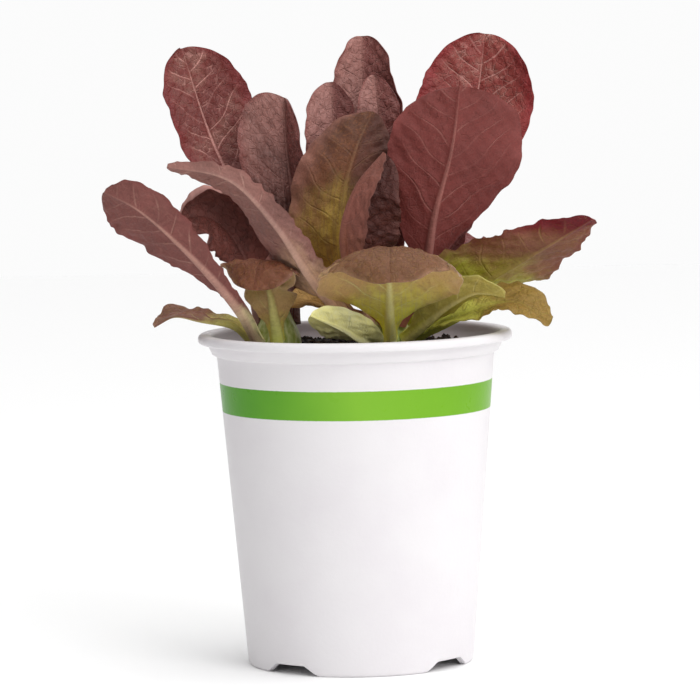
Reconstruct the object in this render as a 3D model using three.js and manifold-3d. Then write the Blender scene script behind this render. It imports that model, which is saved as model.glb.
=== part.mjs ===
// Young red romaine lettuce growing in a round white nursery pot.
// Millimetres, +Z up. The origin is the centre of the pot's footprint and the pot's front faces -Y.
// Two seedlings share the pot: each has a short stem that stands in the soil and a rosette of leaves.

import * as THREE from 'three';
import { mergeVertices } from 'three/addons/utils/BufferGeometryUtils.js';
import Module from 'manifold-3d';

const wasm = await Module();
wasm.setup();

// Pot: a tapered thin wall under a collar and a rolled flange, standing on four feet
const POT = {
  height: 111,
  rimRadius: 52.5,
  lipThickness: 3,
  collarRadius: 49.3,
  collarDrop: 4,
  wallTopRadius: 46.4,
  wallBaseRadius: 37.8,
  wall: 1.3,
  floorUnder: 3.6,
  floorTop: 5,
  footWidth: 2,
  segments: 48,
};
const NOTCH = { count: 4, firstAngle: 51, height: 3.3, width: 22, slope: 5, depth: 12 };
const DRAIN = { count: 4, radius: 4, ring: 22, firstAngle: 6 };

// Soil: fills the pot to just under the collar, a little higher towards its middle
const SOIL = { edgeHeight: 105, crown: 0.8, gap: 0.5, bump: 0.4, rings: 6, segments: 40 };

// Stems: short tapered stubs, each in a plain hole in the soil
const STEM = {
  footRadius: 8.5,
  tipRadius: 3.5,
  foot: 92,
  shoulder: 107,
  tip: 122,
  holeGap: 0.4,
  segments: 20,
};
const STEMS = {
  left: { x: -26, y: -2 },
  right: { x: 12, y: 2 },
};

// Leaf build shared by every leaf
const LEAF = {
  thickness: 0.8,
  neck: 2.5,
  ribWidth: [2, 0.6],
  ribHeight: [2.2, 0.3],
  rootGap: 0.9,
  channel: 22,
  tipEnd: 1.006,
  tipRound: 2.3,
  rows: 16,
};

// Each leaf grows from a stem at an azimuth (0 is +X, 90 is +Y) and a height up it.
//   midrib    points that the leaf's midrib passes after its root
//   width     half widths of the blade, left then right of the midrib as seen on the upper face
//   face      the way the upper face looks at mid blade
//   blade     share of the midrib where the blade starts to widen, and where it is widest
//   fold      angle that each half rises from flat at the midrib
//   curl      angle that each half turns through from midrib to margin
//   wave      height and count of the ruffles along the margin
//   tip       roundness of the tip where it is more pointed than on the other leaves
//   skew      slope by which the left half reaches further ahead than the right
const LEAVES = [
  { name: 'left_leaf_low_front', stem: 'left', azimuth: 222, height: 109,
    midrib: [[-38, -20, 121], [-54, -28, 140], [-70, -33, 155], [-80.6, -35, 161]],
    width: [8.5, 14], face: [0.25, 0.9, 0.35], blade: [0.22, 0.8],
    fold: [8, 8], curl: [18, 14], wave: [0.8, 4] },
  { name: 'left_leaf_tall_back', stem: 'left', azimuth: 100, height: 114,
    midrib: [[-29, 11, 134], [-37, 17, 153], [-47.5, 25, 176], [-57, 33, 206]],
    width: [13, 18], face: [0.3, -0.9, 0.3], blade: [0.2, 0.74],
    fold: [6, 4], curl: [16, 20], wave: [0.8, 4] },
  { name: 'left_leaf_folded', stem: 'left', azimuth: 30, height: 114,
    midrib: [[-20.5, 6, 131], [-20, 10, 153], [-22, 14, 172], [-22.5, 16, 189]],
    width: [16, 14], face: [-0.25, -0.95, 0.15], blade: [0.1, 0.64],
    fold: [14, 52], curl: [10, -10], wave: [0.7, 4], skew: 0.6 },
  { name: 'left_leaf_curled', stem: 'left', azimuth: 152, height: 114,
    midrib: [[-33, 3, 126], [-39, 4, 141], [-48, 2, 150], [-58, -3, 150]],
    width: [14, 20], face: [0.2, -0.75, 0.6], blade: [0.25, 0.66],
    fold: [5, 5], curl: [20, 160], wave: [1, 4] },
  { name: 'left_leaf_short_front', stem: 'left', azimuth: 272, height: 109,
    midrib: [
      [-27, -13, 120], [-28, -14.5, 130], [-29.5, -17.5, 136.5],
      [-31.5, -21.5, 135.5], [-33.5, -24, 127],
    ],
    width: [15, 16], face: [0, -0.1, 1], blade: [0.05, 0.64],
    fold: [0, 0], curl: [-34, -22], wave: [0.5, 4] },
  { name: 'left_leaf_spreading', stem: 'left', azimuth: 175, height: 109,
    midrib: [[-40, -6, 115], [-51, -9, 117], [-60, -10, 118.5], [-67, -10, 115]],
    width: [7, 7], face: [0.05, -0.1, 1], blade: [0.2, 0.62],
    fold: [12, 12], curl: [12, 12], wave: [0.8, 3] },
  { name: 'left_leaf_rear', stem: 'left', azimuth: 68, height: 109,
    midrib: [[-20.5, 14, 122], [-20, 26, 135], [-22, 39, 143], [-26, 50, 143]],
    width: [12, 12], face: [0, -0.55, 0.85], blade: [0.2, 0.68],
    fold: [8, 8], curl: [20, 20], wave: [1.2, 5] },
  { name: 'left_leaf_rear_tall', stem: 'left', azimuth: 125, height: 109,
    midrib: [[-34, 15, 126], [-36, 29, 148], [-37, 39, 168], [-38, 45, 183]],
    width: [12, 13], face: [0.1, -0.85, 0.5], blade: [0.12, 0.7],
    fold: [8, 8], curl: [20, 20], wave: [1.2, 5] },

  { name: 'right_leaf_arching', stem: 'right', azimuth: 205, height: 114,
    midrib: [[-5, -16, 119.5], [-14, -23, 130], [-25, -28, 148], [-40, -32, 164], [-60, -35, 169]],
    width: [6.5, 13], face: [0.4, 0.8, 0.45], blade: [0.1, 0.36],
    fold: [35, 10], curl: [5, 14], wave: [0.5, 4], tip: 1.3 },
  { name: 'right_leaf_centre', stem: 'right', azimuth: 215, height: 119,
    midrib: [[-2, -6, 132], [-3, -10, 155], [1, -9, 171], [7, -4, 184]],
    width: [15.4, 19], face: [0.05, 0.97, 0.2], blade: [0.04, 0.5],
    fold: [6, 6], curl: [22, 22], wave: [0.8, 4], skew: 0.3 },
  { name: 'right_leaf_clasped', stem: 'right', azimuth: 255, height: 114,
    midrib: [[1, -17, 126], [-3, -22.5, 144], [2, -25, 160], [11, -24, 171]],
    width: [10, 19], face: [0.95, -0.25, 0.1], blade: [0, 0.53],
    fold: [52, 58], curl: [10, 10], wave: [0.6, 4] },
  { name: 'right_leaf_broad', stem: 'right', azimuth: 300, height: 114,
    midrib: [[22, -8, 126], [27, -13, 150], [33, -15, 172], [36, -11, 192]],
    width: [25.5, 21], face: [-0.1, 0.95, 0.25], blade: [0.14, 0.74],
    fold: [6, 6], curl: [16, 18], wave: [0.8, 4], tip: 2.9, skew: 0.12 },
  { name: 'right_leaf_tall_back', stem: 'right', azimuth: 35, height: 114,
    midrib: [[26, 14, 133], [35, 22, 162], [43, 28, 188], [46, 30, 209]],
    width: [20, 21], face: [-0.1, -0.9, 0.3], blade: [0.15, 0.72],
    fold: [6, 6], curl: [18, 20], wave: [0.8, 4] },
  { name: 'right_leaf_top_back', stem: 'right', azimuth: 80, height: 114,
    midrib: [[11, 17, 137], [7, 23, 167], [4, 27, 191], [4, 29, 209]],
    width: [11, 15], face: [0.1, -0.97, 0.15], blade: [0.1, 0.72],
    fold: [6, 10], curl: [14, 60], wave: [0.8, 4] },
  { name: 'right_leaf_top_middle', stem: 'right', azimuth: 55, height: 119,
    midrib: [[13.5, 9, 137], [10.5, 13, 167], [8, 15, 196]],
    width: [9, 9], face: [0, -0.97, 0.2], blade: [0.05, 0.62],
    fold: [6, 6], curl: [16, 16], wave: [0.7, 4] },
  { name: 'right_leaf_top_left', stem: 'right', azimuth: 140, height: 119,
    midrib: [[2.5, 5, 137], [-5, 7, 168], [-7, 9, 194]],
    width: [10, 9], face: [0, -0.97, 0.2], blade: [0.25, 0.72],
    fold: [6, 6], curl: [16, 16], wave: [0.7, 4] },
  { name: 'right_leaf_drooping', stem: 'right', azimuth: 268, height: 109,
    midrib: [
      [11.5, -17, 118], [11.5, -27, 130], [11.5, -34, 139],
      [11.5, -41, 141.5], [11.5, -47, 137.5], [11.5, -50, 130.5],
    ],
    width: [26, 26], face: [0, -0.1, 1], blade: [0.05, 0.56],
    fold: [0, 0], curl: [-44, -44], wave: [0.6, 5] },
  { name: 'right_leaf_side', stem: 'right', azimuth: 345, height: 114,
    midrib: [[36, -6, 122], [46, -11, 129], [61, -17, 138], [78.5, -21, 148.5]],
    width: [19, 18], face: [-0.3, 0.8, 0.5], blade: [0.08, 0.43],
    fold: [6, 10], curl: [16, 24], wave: [0.8, 4], tip: 0.8, skew: 0.48 },
  { name: 'right_leaf_low_side', stem: 'right', azimuth: 308, height: 109,
    midrib: [[24.2, -12.2, 115], [32, -18.2, 121], [40, -23, 125], [49.5, -27, 124]],
    width: [5, 10], face: [-0.2, 0.7, 0.6], blade: [0.1, 0.46],
    fold: [8, 8], curl: [10, 10], wave: [0.5, 4], tip: 1.2 },
  { name: 'right_leaf_hanging', stem: 'right', azimuth: 336, height: 109,
    midrib: [[33, -14, 116], [44, -18, 120.5], [55, -22, 121], [64, -25, 114]],
    width: [9, 9], face: [0.2, -0.55, 0.8], blade: [0.05, 0.6],
    fold: [6, 6], curl: [14, 14], wave: [0.8, 4] },
  { name: 'right_leaf_pale', stem: 'right', azimuth: 235, height: 109,
    midrib: [[1.5, -19, 110], [-4.5, -25, 114], [-14.5, -29, 119]],
    width: [8, 9], face: [0.3, 0.85, 0.4], blade: [0, 0.5],
    fold: [8, 8], curl: [16, 16], wave: [0.4, 3] },
  { name: 'right_leaf_small_left', stem: 'right', azimuth: 175, height: 109,
    midrib: [[-6, -4, 118], [-14, -8, 122], [-22, -11, 121]],
    width: [8, 8], face: [0.1, -0.5, 0.85], blade: [0, 0.5],
    fold: [10, 10], curl: [14, 14], wave: [0.6, 3] },
  { name: 'right_leaf_rear', stem: 'right', azimuth: 112, height: 109,
    midrib: [[6, 20, 127], [2, 31, 144], [-2, 42, 153], [-6, 51, 152]],
    width: [14, 14], face: [0, -0.55, 0.85], blade: [0.2, 0.68],
    fold: [8, 8], curl: [22, 22], wave: [1.2, 5] },
  { name: 'right_leaf_rear_side', stem: 'right', azimuth: 60, height: 109,
    midrib: [[24, 20, 122], [32, 32, 133], [39, 42, 138], [45, 50, 136]],
    width: [12, 12], face: [-0.2, -0.5, 0.85], blade: [0.2, 0.68],
    fold: [8, 8], curl: [20, 20], wave: [1.2, 5] },
  { name: 'right_leaf_rear_tall', stem: 'right', azimuth: 12, height: 109,
    midrib: [[27, 13, 122], [31, 27, 142], [33, 38, 162], [34, 45, 177]],
    width: [12, 12], face: [-0.1, -0.85, 0.5], blade: [0.12, 0.7],
    fold: [8, 8], curl: [20, 20], wave: [1.2, 5] },
];

// Materials
const finish = (color, roughness) => new THREE.MeshStandardMaterial({ color, roughness, metalness: 0 });
const whitePlastic = finish(0xf0eeef, 0.35);
const darkSoil = finish(0x231c18, 1);
const greenStem = finish(0xa9b85c, 0.55);
const redLeaf = finish(0x74433f, 0.6);
const paleLeaf = finish(0xb4bd84, 0.6);

const mix = (from, to, share) => from + (to - from) * share;
const smooth = (from, to, value) => THREE.MathUtils.smoothstep(value, from, to);
const radians = THREE.MathUtils.degToRad;

// A solid from a closed geometry whose shared corners are merged
function solid(geometry) {
  const bare = new THREE.BufferGeometry();
  bare.setAttribute('position', geometry.getAttribute('position'));
  bare.setIndex(geometry.index);
  const merged = mergeVertices(bare, 1e-4);
  const corners = [];
  for (let i = 0; i < merged.index.count; i += 3) {
    const [a, b, c] = merged.index.array.slice(i, i + 3);
    if (a !== b && b !== c && c !== a) corners.push(a, b, c);
  }
  return new wasm.Manifold(new wasm.Mesh({
    numProp: 3,
    vertProperties: new Float32Array(merged.attributes.position.array),
    triVerts: new Uint32Array(corners),
  }));
}

// A geometry from a solid
function geometryOf(made) {
  const mesh = made.getMesh();
  const geometry = new THREE.BufferGeometry();
  geometry.setAttribute('position', new THREE.BufferAttribute(mesh.vertProperties, 3));
  geometry.setIndex(new THREE.BufferAttribute(mesh.triVerts, 1));
  geometry.computeVertexNormals();
  return geometry;
}

// A profile of radius and height, turned round the Z axis
function turned(profile, segments) {
  return new THREE.LatheGeometry(profile, segments).rotateX(Math.PI / 2);
}

// Radius of the pot's outer wall at a height
function wallRadius(z) {
  return mix(POT.wallBaseRadius, POT.wallTopRadius, z / (POT.height - POT.lipThickness - POT.collarDrop));
}

function makePot() {
  const { height, rimRadius, lipThickness, collarRadius, collarDrop, wall } = POT;
  const lipUnder = height - lipThickness;
  const wallTop = lipUnder - collarDrop;
  const footInner = POT.wallBaseRadius - POT.footWidth;
  const round = lipThickness / 2;
  const outline = new THREE.Path();
  outline.moveTo(0, POT.floorUnder);
  outline.lineTo(footInner - 1, POT.floorUnder);
  outline.lineTo(footInner, 0);
  outline.lineTo(POT.wallBaseRadius - 0.6, 0);
  outline.lineTo(POT.wallBaseRadius, 1);
  outline.lineTo(POT.wallTopRadius, wallTop);
  outline.quadraticCurveTo(collarRadius - 0.6, wallTop + 1, collarRadius, lipUnder);
  outline.lineTo(rimRadius - round, lipUnder);
  outline.absarc(rimRadius - round, height - round, round, -Math.PI / 2, Math.PI / 2, false);
  outline.lineTo(collarRadius, height);
  outline.quadraticCurveTo(collarRadius - wall, height, collarRadius - wall, height - 1.5);
  outline.lineTo(collarRadius - wall, lipUnder);
  outline.quadraticCurveTo(collarRadius - 0.6 - wall, wallTop + 1, POT.wallTopRadius - wall, wallTop);
  outline.lineTo(wallRadius(POT.floorTop + 2) - wall, POT.floorTop + 2);
  outline.lineTo(footInner - 1, POT.floorTop);
  outline.lineTo(0, POT.floorTop);
  let pot = solid(turned(outline.getPoints(4), POT.segments));

  // Four notches between the feet let water run out from under the floor
  const gate = new THREE.Shape();
  gate.moveTo(-NOTCH.width / 2, -1);
  gate.lineTo(NOTCH.width / 2, -1);
  gate.lineTo(NOTCH.width / 2 - NOTCH.slope, NOTCH.height);
  gate.lineTo(NOTCH.slope - NOTCH.width / 2, NOTCH.height);
  gate.closePath();
  for (let i = 0; i < NOTCH.count; i += 1) {
    const turn = radians(NOTCH.firstAngle + (360 / NOTCH.count) * i);
    const cut = new THREE.ExtrudeGeometry(gate, { depth: NOTCH.depth, bevelEnabled: false })
      .translate(0, 0, footInner - NOTCH.depth / 2)
      .rotateX(Math.PI / 2)
      .rotateZ(turn);
    pot = pot.subtract(solid(cut));
  }

  // Drain holes through the floor
  for (let i = 0; i < DRAIN.count; i += 1) {
    const turn = radians(DRAIN.firstAngle + (360 / DRAIN.count) * i);
    const drill = new THREE.CylinderGeometry(DRAIN.radius, DRAIN.radius, 10, 16)
      .rotateX(Math.PI / 2)
      .translate(DRAIN.ring * Math.cos(turn), DRAIN.ring * Math.sin(turn), POT.floorTop);
    pot = pot.subtract(solid(drill));
  }
  return new THREE.Mesh(geometryOf(pot), whitePlastic);
}

// Height of the soil's crumbly surface at a point
function soilHeight(x, y) {
  const share = Math.min(1, Math.hypot(x, y) / POT.wallTopRadius);
  const crumbs = Math.sin(x * 0.43 + 1.3) * Math.cos(y * 0.37 - 0.6) + 0.6 * Math.sin(x * 0.9 - y * 0.8);
  return SOIL.edgeHeight + SOIL.crown * (1 - share * share) + SOIL.bump * crumbs;
}

function makeSoil() {
  const floor = POT.floorTop + SOIL.gap;
  const inner = (z) => wallRadius(z) - POT.wall - SOIL.gap;
  const profile = [
    new THREE.Vector2(0, floor),
    new THREE.Vector2(POT.wallBaseRadius - POT.footWidth - 1 - SOIL.gap, floor),
    new THREE.Vector2(inner(floor + 3), floor + 3),
    new THREE.Vector2(inner(SOIL.edgeHeight - 4), SOIL.edgeHeight - 4),
  ];
  const edge = inner(SOIL.edgeHeight - 4);
  for (let ring = 0; ring <= SOIL.rings; ring += 1) {
    profile.push(new THREE.Vector2(edge * (1 - ring / SOIL.rings), SOIL.edgeHeight));
  }
  const geometry = turned(profile, SOIL.segments);
  const position = geometry.getAttribute('position');
  for (let i = 0; i < position.count; i += 1) {
    if (position.getZ(i) >= SOIL.edgeHeight - 0.01) {
      position.setZ(i, soilHeight(position.getX(i), position.getY(i)));
    }
  }
  let soil = solid(geometry);
  for (const stem of Object.values(STEMS)) {
    const hole = STEM.footRadius + STEM.holeGap;
    const depth = STEM.tip - STEM.foot;
    const drill = new THREE.CylinderGeometry(hole, hole, depth, STEM.segments)
      .rotateX(Math.PI / 2)
      .translate(stem.x, stem.y, STEM.foot - STEM.holeGap + depth / 2);
    soil = soil.subtract(solid(drill));
  }
  return new THREE.Mesh(geometryOf(soil), darkSoil);
}

// Radius of a stem at a height
function stemRadius(z) {
  return mix(STEM.footRadius, STEM.tipRadius, smooth(STEM.shoulder, STEM.tip, z));
}

function makeStem({ x, y }) {
  const profile = [new THREE.Vector2(0, STEM.foot), new THREE.Vector2(STEM.footRadius, STEM.foot)];
  const rise = 5;
  for (let i = 0; i <= rise; i += 1) {
    const z = mix(STEM.shoulder, STEM.tip, i / rise);
    profile.push(new THREE.Vector2(stemRadius(z), z));
  }
  profile.push(new THREE.Vector2(0, STEM.tip + STEM.tipRadius / 2));
  const geometry = geometryOf(solid(turned(profile, STEM.segments).translate(x, y, 0)));
  return new THREE.Mesh(geometry, greenStem);
}

// Half width of a leaf's blade at a share of its length
function halfWidth(leaf, full, along) {
  const [start, widest] = leaf.blade;
  const spread = mix(LEAF.neck, full, smooth(start, widest, along));
  if (along <= widest) return spread;
  const past = (along - widest) / (LEAF.tipEnd - widest);
  return spread * Math.sqrt(1 - past ** (leaf.tip ?? LEAF.tipRound));
}

// A half blade's cross-section: out and up from the midrib at an arc distance, and the angle there
function section(distance, width, fold, curl) {
  const start = radians(fold);
  const turn = radians(curl);
  const angle = start + (turn * distance) / width;
  if (Math.abs(turn) < 1e-3) {
    return { out: distance * Math.cos(start), up: distance * Math.sin(start), angle };
  }
  const radius = width / turn;
  return {
    out: radius * (Math.sin(angle) - Math.sin(start)),
    up: radius * (Math.cos(start) - Math.cos(angle)),
    angle,
  };
}

function makeLeaf(leaf, order) {
  const stem = STEMS[leaf.stem];
  const bearing = radians(leaf.azimuth);
  const outward = new THREE.Vector3(Math.cos(bearing), Math.sin(bearing), 0);
  const reach = stemRadius(leaf.height) + LEAF.rootGap;
  const root = new THREE.Vector3(stem.x, stem.y, leaf.height).addScaledVector(outward, reach);
  const points = leaf.midrib.map((point) => new THREE.Vector3(...point));
  const curve = new THREE.CatmullRomCurve3([root, ...points], false, 'centripetal');
  const inward = outward.clone().negate();
  const face = new THREE.Vector3(...leaf.face).normalize();
  const [start, widest] = leaf.blade;
  const [waveHeight, waves] = leaf.wave;

  // Upper and lower corners, row by row from root to tip and from left margin to right margin
  const upper = [];
  const lower = [];
  for (let row = 0; row <= LEAF.rows; row += 1) {
    const along = 1 - (1 - row / LEAF.rows) ** 1.25;
    const centre = curve.getPointAt(along);
    const ahead = curve.getTangentAt(along);
    const normal = inward.clone().lerp(face, smooth(0, 0.5, along));
    normal.addScaledVector(ahead, -normal.dot(ahead)).normalize();
    const across = ahead.clone().cross(normal);
    const open = smooth(start, widest, along);
    const ribHalf = mix(...LEAF.ribWidth, along ** 0.7);
    const ribDeep = mix(...LEAF.ribHeight, along ** 0.6);
    [-1, 1].forEach((side, index) => {
      const width = halfWidth(leaf, leaf.width[index], along);
      const fold = mix(LEAF.channel, leaf.fold[index], open);
      const curl = leaf.curl[index] * open;
      const stops = [0, ribHalf, mix(ribHalf, width, 0.5), width];
      const order4 = side < 0 ? [...stops].reverse() : stops.slice(1);
      for (const distance of order4) {
        const { out, up, angle } = section(distance, width, fold, curl);
        const lean = distance === 0 ? 0 : angle;
        const skin = normal.clone().multiplyScalar(Math.cos(lean));
        skin.addScaledVector(across, -side * Math.sin(lean));
        const phase = order * 1.7 + index * 2.3;
        const swell = waveHeight * open * (distance / width) ** 2;
        const ruffle = swell * Math.sin(2 * Math.PI * waves * along + phase);
        const top = centre.clone().addScaledVector(across, side * out).addScaledVector(normal, up);
        top.addScaledVector(skin, ruffle);
        top.addScaledVector(ahead, -side * distance * open * (leaf.skew ?? 0));
        const depth = LEAF.thickness + (distance === 0 ? ribDeep : 0);
        upper.push(top);
        lower.push(top.clone().addScaledVector(skin, -depth));
      }
    });
  }

  // Both faces are split along the same diagonals, and walls close the root, the tip and the margins
  const columns = 7;
  const bottom = upper.length;
  const faces = [];
  const at = (row, column) => row * columns + column;
  const wall = (a, b) => faces.push(a, bottom + a, bottom + b, a, bottom + b, b);
  for (let row = 0; row < LEAF.rows; row += 1) {
    for (let column = 0; column < columns - 1; column += 1) {
      const a = at(row, column);
      const b = at(row, column + 1);
      const c = at(row + 1, column + 1);
      const d = at(row + 1, column);
      faces.push(a, b, c, a, c, d);
      faces.push(bottom + a, bottom + c, bottom + b, bottom + a, bottom + d, bottom + c);
    }
    wall(at(row, columns - 1), at(row + 1, columns - 1));
    wall(at(row + 1, 0), at(row, 0));
  }
  for (let column = 0; column < columns - 1; column += 1) {
    wall(at(0, column), at(0, column + 1));
    wall(at(LEAF.rows, column + 1), at(LEAF.rows, column));
  }
  const geometry = new THREE.BufferGeometry().setFromPoints([...upper, ...lower]);
  geometry.setIndex(faces);
  geometry.computeVertexNormals();
  return new THREE.Mesh(geometry, leaf.name === 'right_leaf_pale' ? paleLeaf : redLeaf);
}

const plant = new THREE.Group();
function place(name, mesh) {
  mesh.name = name;
  plant.add(mesh);
}
place('pot', makePot());
place('soil', makeSoil());
for (const [name, stem] of Object.entries(STEMS)) place(`${name}_stem`, makeStem(stem));
LEAVES.forEach((leaf, order) => place(leaf.name, makeLeaf(leaf, order)));

export default plant;
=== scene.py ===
"""Young red romaine lettuce in a round white nursery pot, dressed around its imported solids."""

import logging
import math
import random
from dataclasses import dataclass, field
from enum import Enum
from typing import Any, Iterable, Optional, Union

import bmesh
import bpy
import numpy as np
from mathutils import Matrix, Vector, noise


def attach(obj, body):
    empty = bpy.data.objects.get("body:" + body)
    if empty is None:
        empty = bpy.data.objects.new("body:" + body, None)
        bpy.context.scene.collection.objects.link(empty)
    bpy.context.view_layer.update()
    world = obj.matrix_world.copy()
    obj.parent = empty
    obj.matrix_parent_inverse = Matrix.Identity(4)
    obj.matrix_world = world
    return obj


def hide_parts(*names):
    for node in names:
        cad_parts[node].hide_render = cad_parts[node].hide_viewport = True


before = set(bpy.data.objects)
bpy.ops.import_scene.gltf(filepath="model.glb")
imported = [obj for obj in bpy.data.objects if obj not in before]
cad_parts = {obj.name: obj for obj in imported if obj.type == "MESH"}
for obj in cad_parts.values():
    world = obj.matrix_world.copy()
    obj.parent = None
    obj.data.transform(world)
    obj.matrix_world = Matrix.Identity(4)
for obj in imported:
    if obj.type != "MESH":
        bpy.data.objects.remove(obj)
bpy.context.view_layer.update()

log = logging.getLogger("lettuce")

MM = 0.001
BODY = "root"
Colour = tuple[float, float, float]
Point = tuple[float, float, float]
Pair = tuple[float, float]
Outline = list[Pair]
Stops = list[tuple[float, Colour]]


def tint(red: int, green: int, blue: int) -> Colour:
    """Turn a display colour of 0 to 255 into the linear colour that a shader takes."""
    shares = (channel / 255 for channel in (red, green, blue))
    return tuple(s / 12.92 if s <= 0.04045 else ((s + 0.055) / 1.055) ** 2.4 for s in shares)


def smooth(low: float, high: float, value: Any) -> Any:
    """Rise smoothly from 0 at low to 1 at high, for a number or an array."""
    share = np.clip((value - low) / (high - low), 0.0, 1.0)
    return share * share * (3 - 2 * share)


def blend(first: Any, second: Any, share: Any) -> Any:
    """Go straight from first to second as share goes from 0 to 1."""
    return first + (second - first) * share


def unit(vectors: np.ndarray) -> np.ndarray:
    """Bring each row's vector to a length of 1."""
    return vectors / np.linalg.norm(vectors, axis=1, keepdims=True)


def resample(rows: np.ndarray, places: np.ndarray, wanted: np.ndarray) -> np.ndarray:
    """Read rows of three numbers, which stand at places, at the wanted places."""
    return np.stack([np.interp(wanted, places, rows[:, axis]) for axis in range(3)], axis=1)


def spread(amounts: np.ndarray, axes: np.ndarray) -> np.ndarray:
    """Stretch each row's axis by that row's amounts, one for each column."""
    return amounts[:, :, None] * axes[:, None, :]


class Value:
    """A socket of a material that takes part in arithmetic."""

    def __init__(self, board: "Board", socket: bpy.types.NodeSocket) -> None:
        """Hold the socket and the board that its nodes stand on."""
        self.board = board
        self.socket = socket

    def math(self, operation: str, *others: "Number") -> "Value":
        """Add one Math node that reads this value and the others.

        Args:
            operation: The Math node's operation.
            others: The node's other inputs, in order.

        Returns:
            The node's result.
        """
        inputs = dict(enumerate((self, *others)))
        return self.board.node("ShaderNodeMath", {"operation": operation}, inputs)

    def __add__(self, other: "Number") -> "Value":
        """Add."""
        return self.math("ADD", other)

    __radd__ = __add__

    def __sub__(self, other: "Number") -> "Value":
        """Subtract."""
        return self.math("SUBTRACT", other)

    def __rsub__(self, other: "Number") -> "Value":
        """Subtract this from a number."""
        return self.board.node("ShaderNodeMath", {"operation": "SUBTRACT"}, {0: other, 1: self})

    def __mul__(self, other: "Number") -> "Value":
        """Multiply."""
        return self.math("MULTIPLY", other)

    __rmul__ = __mul__

    def __truediv__(self, other: "Number") -> "Value":
        """Divide."""
        return self.math("DIVIDE", other)

    def __pow__(self, other: "Number") -> "Value":
        """Raise to a power."""
        return self.math("POWER", other)

    def __abs__(self) -> "Value":
        """Drop the sign."""
        return self.math("ABSOLUTE")

    def __neg__(self) -> "Value":
        """Turn the sign."""
        return self.math("MULTIPLY", -1.0)

    def most(self, other: "Number") -> "Value":
        """Take the larger of the two."""
        return self.math("MAXIMUM", other)

    def ramp(self, low: "Number", high: "Number") -> "Value":
        """Rise smoothly from 0 where this is low to 1 where it is high."""
        settings = {"interpolation_type": "SMOOTHSTEP"}
        return self.board.node("ShaderNodeMapRange", settings, {0: self, 1: low, 2: high})


Number = Union[Value, float, int]


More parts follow.
